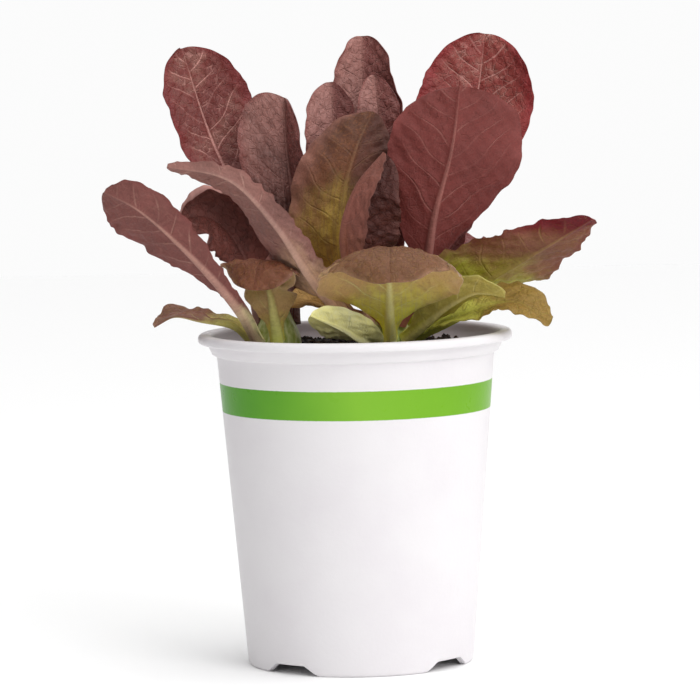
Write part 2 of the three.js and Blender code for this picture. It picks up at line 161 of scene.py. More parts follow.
class Board:
    """The node board of one material or of the studio's sky."""

    def __init__(self, owner: Union[bpy.types.Material, bpy.types.World]) -> None:
        """Start on the owner's board with no nodes on it.

        Args:
            owner: The material or the world that the board belongs to.
        """
        owner.use_nodes = True
        self.owner = owner
        self.tree = owner.node_tree
        self.tree.nodes.clear()

    @classmethod
    def material(cls, name: str) -> "Board":
        """Start a new material of that name."""
        return cls(bpy.data.materials.new(name))

    def add(
        self, kind: str, settings: Optional[dict[str, Any]] = None, inputs: Optional[dict[Any, Any]] = None
    ) -> bpy.types.Node:
        """Add a node, set it up and connect it.

        Args:
            kind: The node's type.
            settings: Its own settings, set before its sockets; "stops" are a ramp's places and colours.
            inputs: The value or link of each input, by the input's name or number.

        Returns:
            The node.
        """
        made = self.tree.nodes.new(kind)
        for key, value in (settings or {}).items():
            if key == "stops":
                self.set_stops(made.color_ramp, value)
            else:
                setattr(made, key, value)
        for key, value in (inputs or {}).items():
            if isinstance(value, Value):
                self.tree.links.new(value.socket, made.inputs[key])
            elif isinstance(value, tuple) and made.inputs[key].type == "RGBA":
                made.inputs[key].default_value = (*value, 1.0)
            else:
                made.inputs[key].default_value = value
        return made

    @staticmethod
    def set_stops(ramp: bpy.types.ColorRamp, stops: Stops) -> None:
        """Put a row of colours on a ramp.

        Args:
            ramp: The ramp, which has two colours to begin with.
            stops: Each colour with its place from 0 to 1, in order.
        """
        while len(ramp.elements) < len(stops):
            ramp.elements.new(0.5)
        for element, (position, colour) in zip(ramp.elements, stops):
            element.position = position
            element.color = (*colour, 1.0)

    def node(
        self,
        kind: str,
        settings: Optional[dict[str, Any]] = None,
        inputs: Optional[dict[Any, Any]] = None,
        output: Union[int, str] = 0,
    ) -> Value:
        """Add a node and take one of its outputs, by name or number."""
        return Value(self, self.add(kind, settings, inputs).outputs[output])

    def attribute(self, name: str) -> Value:
        """Read one of the piece's own attributes as a number."""
        return self.node("ShaderNodeAttribute", {"attribute_name": name}, None, "Fac")

    def place(self) -> Value:
        """Read the point's place on the piece."""
        return self.node("ShaderNodeTexCoord", None, None, "Object")

    def axes(self, vector: Value) -> tuple[Value, ...]:
        """Split a vector into its three numbers."""
        split = self.add("ShaderNodeSeparateXYZ", None, {0: vector})
        return tuple(Value(self, output) for output in split.outputs)

    def vector(self, x: Number, y: Number, z: Number) -> Value:
        """Join three numbers into a vector."""
        return self.node("ShaderNodeCombineXYZ", None, {0: x, 1: y, 2: z})

    def grain(self, where: Value, scale: float, detail: float = 3.0, rough: float = 0.55) -> Value:
        """Make soft noise from 0 to 1 at a scale per unit of the vector."""
        inputs = {"Vector": where, "Scale": scale, "Detail": detail, "Roughness": rough}
        return self.node("ShaderNodeTexNoise", None, inputs, "Fac")

    def cells(self, where: Value, scale: float, feature: str = "DISTANCE_TO_EDGE") -> Value:
        """Make a net of cells and give the distance that the feature names."""
        inputs = {"Vector": where, "Scale": scale}
        return self.node("ShaderNodeTexVoronoi", {"feature": feature}, inputs, "Distance")

    def mix(self, share: Number, first: Any, second: Any, mode: str = "MIX") -> Value:
        """Mix two colours by a share."""
        settings = {"data_type": "RGBA", "blend_type": mode}
        return self.node("ShaderNodeMix", settings, {0: share, 6: first, 7: second}, 2)

    def colours(self, where: Value, stops: Stops) -> Value:
        """Go through a row of colours as where goes from 0 to 1."""
        return self.node("ShaderNodeValToRGB", {"stops": stops}, {0: where})

    def bump(self, height: Value, depth: float) -> Value:
        """Turn a height of 0 to 1 into a surface normal, depth millimetres deep."""
        return self.node("ShaderNodeBump", None, {"Strength": 1.0, "Distance": depth * MM, "Height": height})

    def surface(
        self, colour: Any, roughness: Number, normal: Optional[Value] = None, **fixed: Any
    ) -> bpy.types.Material:
        """Finish the material with one principled shader.

        Args:
            colour: The base colour, a value or a plain colour.
            roughness: The roughness.
            normal: The surface normal, where it is not the mesh's own.
            fixed: Sockets that are the same all over, by name with _ for a space.

        Returns:
            The finished material.
        """
        inputs: dict[str, Any] = {"Base Color": colour, "Roughness": roughness}
        if normal is not None:
            inputs["Normal"] = normal
        inputs.update({key.replace("_", " "): value for key, value in fixed.items()})
        shader = self.node("ShaderNodeBsdfPrincipled", None, inputs)
        self.add("ShaderNodeOutputMaterial", None, {"Surface": shader})
        return self.owner


class Bench:
    """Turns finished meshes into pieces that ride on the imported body."""

    # Distances in metres under which points are merged and faces count as flat
    MERGED = 1e-6
    FLAT = 1e-7

    @staticmethod
    def piece(
        shape: bmesh.types.BMesh,
        name: str,
        material: bpy.types.Material,
        slot: str,
        nodes: Iterable[str] = (),
    ) -> bpy.types.Object:
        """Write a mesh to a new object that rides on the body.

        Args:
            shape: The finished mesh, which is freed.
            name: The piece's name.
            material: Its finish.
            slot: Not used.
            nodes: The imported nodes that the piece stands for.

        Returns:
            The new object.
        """
        made = Bench.placed(shape, name)
        made.data.materials.append(material)
        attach(made, BODY)
        if nodes:
            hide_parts(*nodes)
        log.info("%s: %d faces", name, len(made.data.polygons))
        return made

    @staticmethod
    def placed(shape: bmesh.types.BMesh, name: str) -> bpy.types.Object:
        """Write a mesh to a new object in the scene.

        Args:
            shape: The finished mesh, which is freed.
            name: The object's name.

        Returns:
            The new object.
        """
        mesh = bpy.data.meshes.new(name)
        shape.to_mesh(mesh)
        shape.free()
        made = bpy.data.objects.new(name, mesh)
        bpy.context.scene.collection.objects.link(made)
        return made

    @staticmethod
    def turned(profile: Outline, steps: int) -> bmesh.types.BMesh:
        """Spin a profile of radius and height, in millimetres, round the Z axis.

        Args:
            profile: Its points, which start and end on the axis.
            steps: How many steps make a full turn.

        Returns:
            The closed mesh, in metres.
        """
        shape = bmesh.new()
        points = [shape.verts.new((radius * MM, 0.0, height * MM)) for radius, height in profile]
        edges = [shape.edges.new(pair) for pair in zip(points, points[1:])]
        bmesh.ops.spin(
            shape, geom=points + edges, cent=(0, 0, 0), axis=(0, 0, 1), angle=math.tau, steps=steps,
            use_merge=True,
        )
        bmesh.ops.remove_doubles(shape, verts=shape.verts[:], dist=Bench.MERGED)
        Bench.rounded(shape)
        return shape

    @staticmethod
    def rounded(shape: bmesh.types.BMesh) -> None:
        """Turn every face outwards and shade it round.

        Args:
            shape: The finished mesh.
        """
        bmesh.ops.recalc_face_normals(shape, faces=shape.faces[:])
        for face in shape.faces:
            face.smooth = True

    @staticmethod
    def crease(shape: bmesh.types.BMesh, degrees: float) -> None:
        """Make every edge sharp where its faces meet at more than an angle."""
        for edge in shape.edges:
            edge.smooth = edge.calc_face_angle(0.0) < math.radians(degrees)

    @staticmethod
    def bend(start: Pair, pull: Pair, end: Pair, count: int) -> Outline:
        """Round a corner of a profile with a quadratic curve.

        Args:
            start: The point where the curve starts, which is left out of it.
            pull: The corner that the curve bends towards.
            end: The point where the curve ends.
            count: How many points the curve has.

        Returns:
            The curve's points.
        """
        points = []
        for step in range(1, count + 1):
            t = step / count
            keep, lean, far = (1 - t) ** 2, 2 * t * (1 - t), t * t
            points.append(tuple(keep * a + lean * b + far * c for a, b, c in zip(start, pull, end)))
        return points


@dataclass(frozen=True)
class PlasticFinish:
    """Satin white plastic with one printed band, whose green carries painted shade and a painted highlight,
    with lengths in millimetres.
    """

    # Scale per metre, detail and roughness of each noise
    CLOUD = (34.0, 4.0, 0.55)
    SPECK = (420.0, 5.0, 0.7)
    SCUFF = (130.0, 6.0, 0.7)
    PRINT = (900.0, 3.0, 0.55)
    PEEL = (650.0, 2.0, 0.55)
    SATIN = (180.0, 3.0, 0.55)
    # Levels between which a noise takes hold
    CLOUDED = (0.35, 0.75)
    SCUFFED = (0.62, 0.72)

    white: Colour = tint(225, 222, 224)
    shade: Colour = tint(221, 217, 220)
    # Dust for scuffs at the foot, and dust with painted shade on the inside above the soil
    dust_and_shade: Colour = tint(214, 207, 194)
    # Band colours across the front: painted shade on the left, a painted highlight in the middle, less light
    # on the right
    band_shaded_left: Colour = tint(74, 145, 44)
    band_highlit_middle: Colour = tint(124, 178, 52)
    band_lit_right: Colour = tint(106, 162, 32)
    band: Pair = (85.2, 94.8)
    band_soft: float = 0.12
    band_wobble: float = 0.16
    band_across: float = 92.0
    band_cloud: float = 0.2
    band_relief: float = 0.15
    band_sheen: float = 0.06
    dust_and_shade_from: Pair = (100.0, 103.0)
    dust_and_shade_cover: Pair = (0.1, 0.5)
    scuffed_to: Pair = (2.0, 11.0)
    scuff_cover: float = 0.35
    skin: float = 0.1
    peel: float = 0.06
    satin: float = 0.1
    roughness: float = 0.3
    specular: float = 0.1

    def material(self, pot: "Pot") -> bpy.types.Material:
        """Build the material.

        Args:
            pot: The pot that it goes on, for the place of its wall.

        Returns:
            The material.
        """
        board = Board.material("white_plastic")
        where = board.place()
        x, y, z = (axis / MM for axis in board.axes(where))
        slope = (pot.wall_top_radius - pot.wall_base_radius) / pot.wall_top
        middle = z * slope + pot.wall_base_radius - 0.5 * pot.wall
        outside = ((x * x + y * y) ** 0.5 - middle).ramp(-self.skin, self.skin)

        # White body, with dust and painted shade inside above the soil, and scuffed at the foot
        cloud = board.grain(where, *self.CLOUD)
        body = board.mix(cloud.ramp(*self.CLOUDED), self.white, self.shade)
        least, specked = self.dust_and_shade_cover
        # Inside above the soil: part dust, part painted shade of the inner wall
        inner_dust_and_shade = (1 - outside) * z.ramp(*self.dust_and_shade_from)
        body = board.mix(inner_dust_and_shade * (least + specked * board.grain(where, *self.SPECK)), body, self.dust_and_shade)
        scuff = board.grain(where, *self.SCUFF).ramp(*self.SCUFFED) * (1 - z.ramp(*self.scuffed_to))
        body = board.mix(scuff * self.scuff_cover, body, self.dust_and_shade)

        # Printed band, with painted light across it: painted shade on the left, a painted highlight in the
        # middle of the front, a little less light on the right
        ring = z + (board.grain(where, *self.PRINT) - 0.5) * self.band_wobble
        low, high = (ring.ramp(edge - self.band_soft, edge + self.band_soft) for edge in self.band)
        band = low * (1 - high) * outside
        band_light_tones = [(0.0, self.band_shaded_left), (0.5, self.band_highlit_middle), (1.0, self.band_lit_right)]
        green = board.colours(x / self.band_across + 0.5 + (cloud - 0.5) * self.band_cloud, band_light_tones)

        # Fine moulded skin, a little smoother under the print
        normal = board.bump(board.grain(where, *self.PEEL) + band * self.band_relief, self.peel)
        rough = self.roughness + self.satin * board.grain(where, *self.SATIN) - band * self.band_sheen
        return board.surface(board.mix(band, body, green), rough, normal, Specular_IOR_Level=self.specular)


@dataclass
class Pot:
    """Tapered nursery pot with a stepped collar, a rolled flange and notched feet, in millimetres.

    foot_round and lip_round say how far in and up an outer edge is rounded. ledge, ledge_corner and
    shoulder are steps out and up from the top of the wall. wall_rings and inner_rings are heights.
    """

    height: float = 111.0
    rim_radius: float = 52.5
    lip: float = 3.0
    lip_round: Pair = (0.8, 0.7)
    collar_radius: float = 49.3
    collar_drop: float = 4.0
    ledge: Pair = (1.0, 0.1)
    ledge_corner: Pair = (1.6, 0.15)
    shoulder: Pair = (1.7, 0.8)
    wall_top_radius: float = 46.4
    wall_base_radius: float = 37.8
    wall: float = 1.3
    wall_rings: tuple[float, ...] = (4, 12, 24, 40, 56, 72, 84, 90, 96, 100)
    inner_rings: tuple[float, ...] = (90, 60, 30, 7)
    floor_under: float = 3.6
    floor_top: float = 5.0
    foot_width: float = 2.0
    foot_round: Pair = (0.9, 1.2)
    notch_count: int = 4
    notch_first: float = 51.0
    notch_height: float = 3.3
    notch_width: float = 22.0
    notch_slope: float = 5.0
    drain_radius: float = 4.0
    drain_ring: float = 22.0
    drain_first: float = 6.0
    drain_sides: int = 32
    cutter_height: float = 10.0
    steps: int = 288
    sharp: float = 40.0
    finish: PlasticFinish = field(default_factory=PlasticFinish)

    @property
    def lip_under(self) -> float:
        """Height of the flange's underside."""
        return self.height - self.lip

    @property
    def wall_top(self) -> float:
        """Height where the straight wall ends and the collar starts."""
        return self.lip_under - self.collar_drop

    @property
    def foot_radius(self) -> float:
        """Inner radius of the foot."""
        return self.wall_base_radius - self.foot_width

    def wall_radius(self, height: float) -> float:
        """Outer radius of the straight wall at a height."""
        return blend(self.wall_base_radius, self.wall_top_radius, height / self.wall_top)

    def foot_line(self) -> Outline:
        """Draw the floor's underside, the foot and the wall.

        Returns:
            Points of radius and height, from the axis to the top of the wall.
        """
        foot, edge = self.foot_radius, self.wall_base_radius
        inset, rise = self.foot_round
        line = [(0.0, self.floor_under), (foot - 1.0, self.floor_under)]
        line += [(foot - 0.1, 0.25), (foot + 0.3, 0.0), (edge - inset, 0.0)]
        line += Bench.bend(line[-1], (edge, 0.0), (self.wall_radius(rise), rise), 4)
        heights = (*self.wall_rings, self.wall_top - 0.5)
        return line + [(self.wall_radius(z), z) for z in heights]

    def collar_line(self, start: Pair) -> Outline:
        """Draw the ledge over the wall and the collar under the flange.

        Args:
            start: The last point of the wall.

        Returns:
            Points of radius and height, up to the flange's underside.
        """
        base, low, collar, under = self.wall_top_radius, self.wall_top, self.collar_radius, self.lip_under
        ledge, corner, shoulder = (
            (base + out, low + up) for out, up in (self.ledge, self.ledge_corner, self.shoulder)
        )
        line = Bench.bend(start, (base, low), ledge, 4)
        line += Bench.bend(ledge, corner, shoulder, 3)
        line += Bench.bend(shoulder, (collar - 0.4, low + 2.0), (collar, under - 0.2), 6)
        return line + Bench.bend(line[-1], (collar, under), (collar + 0.3, under), 2)

    def lip_line(self) -> Outline:
        """Draw the flange, round its edge and over its top.

        Returns:
            Points of radius and height, from the flange's underside to its top.
        """
        rim, under, half = self.rim_radius, self.lip_under, self.lip / 2
        inset, rise = self.lip_round
        line = [(rim - inset, under)]
        line += Bench.bend(line[0], (rim - 0.2, under), (rim, under + rise), 4)
        for degrees in range(0, 91, 15):
            angle = math.radians(degrees)
            line.append((rim - half + half * math.cos(angle), self.height - half + half * math.sin(angle)))
        return line + [(self.collar_radius + 0.4, self.height)]

    def inner_line(self, start: Pair) -> Outline:
        """Draw the inside of the collar, the wall and the floor.

        Args:
            start: The last point of the flange's top.

        Returns:
            Points of radius and height, down to the axis.
        """
        inner, top = self.collar_radius - self.wall, self.height
        line = Bench.bend(start, (inner, top), (inner, top - 1.7), 5)
        line.append((inner, self.lip_under))
        foot = (self.wall_top_radius - self.wall, self.wall_top)
        line += Bench.bend(line[-1], (inner - 0.6, self.wall_top + 1.0), foot, 6)
        line += [(self.wall_radius(z) - self.wall, z) for z in self.inner_rings]
        return line + [(self.foot_radius - 1.0, self.floor_top), (0.0, self.floor_top)]

    def notch_rise(self, angle: float) -> float:
        """Find the height that the foot's edge rises to.

        Args:
            angle: The angle round the pot.

        Returns:
            The height, 0 where the foot stands on the ground.
        """
        spacing = 360 / self.notch_count
        away = (math.degrees(angle) + 90 - self.notch_first + spacing / 2) % spacing - spacing / 2
        across = abs(math.radians(away)) * self.wall_base_radius
        share = (self.notch_width / 2 - across) / self.notch_slope
        return self.notch_height * min(1.0, max(0.0, share))

    def build(self) -> bpy.types.Object:
        """Spin the pot, raise the notches and drill the floor.

        Returns:
            The pot.
        """
        profile = self.foot_line()
        profile += self.collar_line(profile[-1])
        profile += self.lip_line()
        profile += self.inner_line(profile[-1])
        shape = Bench.turned(profile, self.steps)
        for vert in shape.verts:
            vert.co.z = max(vert.co.z, self.notch_rise(math.atan2(vert.co.y, vert.co.x)) * MM)
        bmesh.ops.dissolve_degenerate(shape, dist=Bench.FLAT, edges=shape.edges[:])
        Bench.crease(shape, self.sharp)
        pot = Bench.piece(shape, "pot_shell", self.finish.material(self), "white_plastic", ["pot"])
        self.drill(pot)
        return pot

    def drill(self, pot: bpy.types.Object) -> None:
        """Cut the drain holes through the floor.

        Args:
            pot: The pot, whose mesh is replaced.
        """
        shape = bmesh.new()
        for hole in range(self.notch_count):
            angle = math.radians(self.drain_first + 360 / self.notch_count * hole)
            x, y = self.drain_ring * math.cos(angle), self.drain_ring * math.sin(angle)
            bmesh.ops.create_cone(
                shape, cap_ends=True, segments=self.drain_sides, radius1=self.drain_radius * MM,
                radius2=self.drain_radius * MM, depth=self.cutter_height * MM,
                matrix=Matrix.Translation((x * MM, y * MM, self.floor_top * MM)),
            )
        cutter = Bench.placed(shape, "drain_cutter")
        cut = pot.modifiers.new("drains", "BOOLEAN")
        cut.object = cutter
        cut.operation = "DIFFERENCE"
        cut.solver = "EXACT"
        bpy.context.view_layer.update()
        graph = bpy.context.evaluated_depsgraph_get()
        drilled = bpy.data.meshes.new_from_object(pot.evaluated_get(graph))
        pot.modifiers.clear()
        pot.data = drilled
        bpy.data.objects.remove(cutter)


@dataclass(frozen=True)
class SoilFinish:
    """Dark moist potting mix."""

    # Scale per metre, detail and roughness of the lumps, where they turn light, and the grit's scale
    LUMPS = (260.0, 6.0, 0.7)
    LIGHT = (0.4, 0.75)
    GRIT = 900.0

    dark: Colour = tint(26, 20, 18)
    light: Colour = tint(66, 50, 40)
    fibre: Colour = tint(120, 92, 62)
    fibre_cover: Pair = (0.4, 0.6)
    grit: float = 0.4
    relief: float = 0.6
    roughness: Pair = (0.82, 0.15)
    specular: float = 0.25

    def material(self) -> bpy.types.Material:
        """Build the material.

        Returns:
            The material.
        """
        board = Board.material("dark_soil")
        where = board.place()
        lumps = board.grain(where, *self.LUMPS)
        colour = board.mix(lumps.ramp(*self.LIGHT), self.dark, self.light)
        least, lumpy = self.fibre_cover
        colour = board.mix(board.attribute("straw") * (least + lumpy * lumps), colour, self.fibre)
        normal = board.bump(lumps + board.cells(where, self.GRIT, "F1") * self.grit, self.relief)
        least, lumpy = self.roughness
        return board.surface(colour, least + lumpy * lumps, normal, Specular_IOR_Level=self.specular)


@dataclass
class Soil:
    """Potting mix that fills the pot, with loose crumbs and bark fibres on its top, in millimetres."""

    # Scale, level and strength of the noises that make the top crumbly, and the coarse one's octaves
    COARSE = (0.09, 3.1, 0.9)
    FINE = (0.7, 9.4, 0.35)
    OCTAVES = (1.0, 2.2, 4)

    pot: Pot
    surface: float = 105.4
    crown: float = 0.8
    gap: float = 0.2
    rough: float = 0.9
    settle: float = 0.3
    rings: int = 46
    steps: int = 160
    wall_rings: tuple[float, ...] = (8.2, 50, 90, 101)
    crumbs: int = 620
    crumb_size: Pair = (0.35, 1.3)
    crumb_shape: Pair = (0.6, 1.2)
    fibres: int = 90
    fibre_length: Pair = (2.0, 5.5)
    fibre_section: Pair = (0.3, 0.22)
    fibre_straw: Pair = (0.5, 1.0)
    tilt: float = 0.35
    jitter: float = 0.12
    lift: float = 0.2
    margin: float = 1.5
    seed: int = 7
    finish: SoilFinish = field(default_factory=SoilFinish)

    def edge(self, height: float) -> float:
        """Radius where the soil meets the pot's wall at a height."""
        return self.pot.wall_radius(height) - self.pot.wall - self.gap

    def top(self, x: float, y: float) -> float:
        """Find the height of the soil's crumbly top.

        Args:
            x: Place to the right.
            y: Place away from the viewer.

        Returns:
            The height there.
        """
        share = min(1.0, math.hypot(x, y) / self.edge(self.surface))
        scale, level, strength = self.COARSE
        lumps = strength * noise.fractal(Vector((x * scale, y * scale, level)), *self.OCTAVES)
        scale, level, strength = self.FINE
        lumps += strength * noise.noise(Vector((x * scale, y * scale, level)))
        return self.surface + self.crown * (1 - share * share) + self.rough * lumps - self.settle

    def build(self) -> list[bpy.types.Object]:
        """Build the filling and what lies loose on it.

        Returns:
            The filling and the crumbs.
        """
        material = self.finish.material()
        floor = self.pot.floor_top + self.gap
        profile = [(0.0, floor), (self.pot.foot_radius - 1.0 - self.gap, floor)]
        profile += [(self.edge(z), z) for z in self.wall_rings]
        rim = self.edge(self.surface)
        profile += [(rim * (1 - ring / self.rings), self.surface) for ring in range(self.rings + 1)]
        shape = Bench.turned(profile, self.steps)
        for vert in shape.verts:
            if vert.co.z > (self.surface - 0.01) * MM:
                vert.co.z = self.top(vert.co.x / MM, vert.co.y / MM) * MM
        filling = Bench.piece(shape, "soil_filling", material, "dark_soil", ["soil"])
        return [filling, self.loose(material)]

    def loose(self, material: bpy.types.Material) -> bpy.types.Object:
        """Scatter crumbs and fibres over the soil's top.

        Args:
            material: The soil's finish.

        Returns:
            All of them as one piece.
        """
        draw = random.Random(self.seed)
        shape = bmesh.new()
        straw = shape.verts.layers.float.new("straw")
        for count in range(self.crumbs + self.fibres):
            fibre = count >= self.crumbs
            reach = (self.edge(self.surface) - self.margin) * math.sqrt(draw.random())
            bearing = draw.uniform(0, math.tau)
            x, y = reach * math.cos(bearing), reach * math.sin(bearing)
            size = draw.uniform(*self.crumb_size)
            if fibre:
                radii = (draw.uniform(*self.fibre_length), *self.fibre_section)
            else:
                radii = tuple(size * draw.uniform(*self.crumb_shape) for _ in "xyz")
            turn = Matrix.Rotation(draw.uniform(0, math.tau), 4, "Z")
            turn = turn @ Matrix.Rotation(draw.uniform(-self.tilt, self.tilt), 4, "Y")
            place = Matrix.Translation(Vector((x, y, self.top(x, y) + self.lift)) * MM)
            scale = Matrix.Diagonal((*(radius * MM for radius in radii), 1.0))
            whole = place @ turn @ scale
            made = bmesh.ops.create_icosphere(shape, subdivisions=1, radius=1.0, matrix=whole)
            rough = (self.fibre_section[0] if fibre else size) * MM
            for vert in made["verts"]:
                vert.co += Vector(draw.uniform(-self.jitter, self.jitter) for _ in "xyz") * rough
                vert[straw] = draw.uniform(*self.fibre_straw) if fibre else 0.0
        return Bench.piece(shape, "soil_crumbs", material, "dark_soil")


@dataclass(frozen=True)
class StemFinish:
    """Pale green stem flesh with faint lengthwise fibres."""

    pale: Colour = tint(196, 200, 140)
    green: Colour = tint(140, 154, 66)
    fibres: Pair = (700.0, 60.0)
    fibres_from: Pair = (0.3, 0.7)
    relief: float = 0.2
    roughness: Pair = (0.45, 0.15)
    specular: float = 0.4

    def material(self) -> bpy.types.Material:
        """Build the material.

        Returns:
            The material.
        """
        board = Board.material("green_stem")
        x, y, z = board.axes(board.place())
        across, along = self.fibres
        strands = board.grain(board.vector(x * across, y * across, z * along), 1.0)
        colour = board.mix(strands.ramp(*self.fibres_from), self.green, self.pale)
        least, more = self.roughness
        normal = board.bump(strands, self.relief)
        return board.surface(colour, least + more * strands, normal, Specular_IOR_Level=self.specular)


@dataclass
class Stem:
    """Short tapered stem of one seedling, in millimetres, with a rounded cap that rises past its tip."""

    name: str
    x: float
    y: float
    foot_radius: float = 8.5
    tip_radius: float = 3.5
    foot: float = 92.0
    neck: float = 98.0
    shoulder: float = 107.0
    tip: float = 122.0
    cap: Pair = (1.5, 1.7)
    rings: int = 18
    steps: int = 64
    ribs: int = 7
    rib_depth: float = 0.04
    rib_twist: float = 0.15

    def radius(self, height: float) -> float:
        """Radius of the stem at a height."""
        return float(blend(self.foot_radius, self.tip_radius, smooth(self.shoulder, self.tip, height)))

    def build(self, material: bpy.types.Material) -> bpy.types.Object:
        """Spin the stem and raise soft ribs on it.

        Args:
            material: The stem's finish.

        Returns:
            The stem.
        """
        profile = [(0.0, self.foot), (self.foot_radius, self.foot)]
        profile += [(self.radius(z), z) for z in np.linspace(self.neck, self.tip, self.rings)]
        pull, end = (self.tip + rise for rise in self.cap)
        profile += Bench.bend(profile[-1], (self.tip_radius * 0.8, pull), (0.0, end), 4)
        shape = Bench.turned(profile, self.steps)
        for vert in shape.verts:
            angle = self.ribs * math.atan2(vert.co.y, vert.co.x) + self.rib_twist * vert.co.z / MM
            swell = 1 - self.rib_depth + self.rib_depth * math.cos(angle)
            vert.co.x = vert.co.x * swell + self.x * MM
            vert.co.y = vert.co.y * swell + self.y * MM
        name = f"{self.name}_stem"
        return Bench.piece(shape, f"{name}_stub", material, "green_stem", [name])


class SideVeins:
    """Where a leaf's side veins run, for its mesh and for its finish, in millimetres.

    They leave the midrib forwards, bend a little, and wander from side to side as they go.
    """

    SLOPE = 0.7
    CURVE = 0.012
    WANDER = 0.13
    WANDER_ALONG = 0.33
    WANDER_ACROSS = 0.12

    @classmethod
    def passed(cls, reach: Any, away: Any, left: Any, spacing: float) -> Any:
        """Count the veins passed on the way to a point, before they wander.

        Args:
            reach: How far along the midrib the point is.
            away: How far from the midrib it is.
            left: 1 on the left half, whose veins are half a step on, and 0 on the right half.
            spacing: The step from vein to vein.

        Returns:
            The count, with a fraction, of the same kind as what came in.
        """
        return (reach - away * cls.SLOPE - away * away * cls.CURVE) / spacing + left * 0.5

    @classmethod
    def bearing(cls, reach: Any, away: Any, seed: float) -> Any:
        """Angle whose sine, times WANDER, is added to the count."""
        return reach * cls.WANDER_ALONG + away * cls.WANDER_ACROSS + seed


class LeafSheet:
    """Where each point lies on a leaf, in millimetres, and the noise that the finish's layers share."""

    # Scale per millimetre, detail and roughness of each noise
    CLOUD = (0.07, 3.0, 0.55)
    MOTTLE = (0.32, 5.0, 0.65)
    DAPPLE = (1.3, 4.0, 0.7)

    def __init__(self, board: Board, seed: float) -> None:
        """Read the leaf's attributes.

        Args:
            board: The board of the leaf's material.
            seed: Shifts the noise so that no two leaves share a pattern.
        """
        self.board = board
        self.seed = seed
        self.along, self.across = board.attribute("along"), board.attribute("across")
        self.reach, self.breadth = board.attribute("reach"), board.attribute("breadth")
        self.side = board.attribute("side")
        self.away = abs(self.across)
        self.share = self.away / self.breadth
        place = board.vector(self.across, self.reach, seed)
        self.cloud = board.grain(place, *self.CLOUD)
        self.mottle = board.grain(place, *self.MOTTLE)
        self.dapple = board.grain(place, *self.DAPPLE)

    def stretched(self, scales: Pair, detail: float, rough: float) -> Value:
        """Make noise with its own scales across and along the leaf."""
        across, along = scales
        return self.board.grain(
            self.board.vector(self.across * across, self.reach * along, self.seed), 1.0, detail, rough
        )


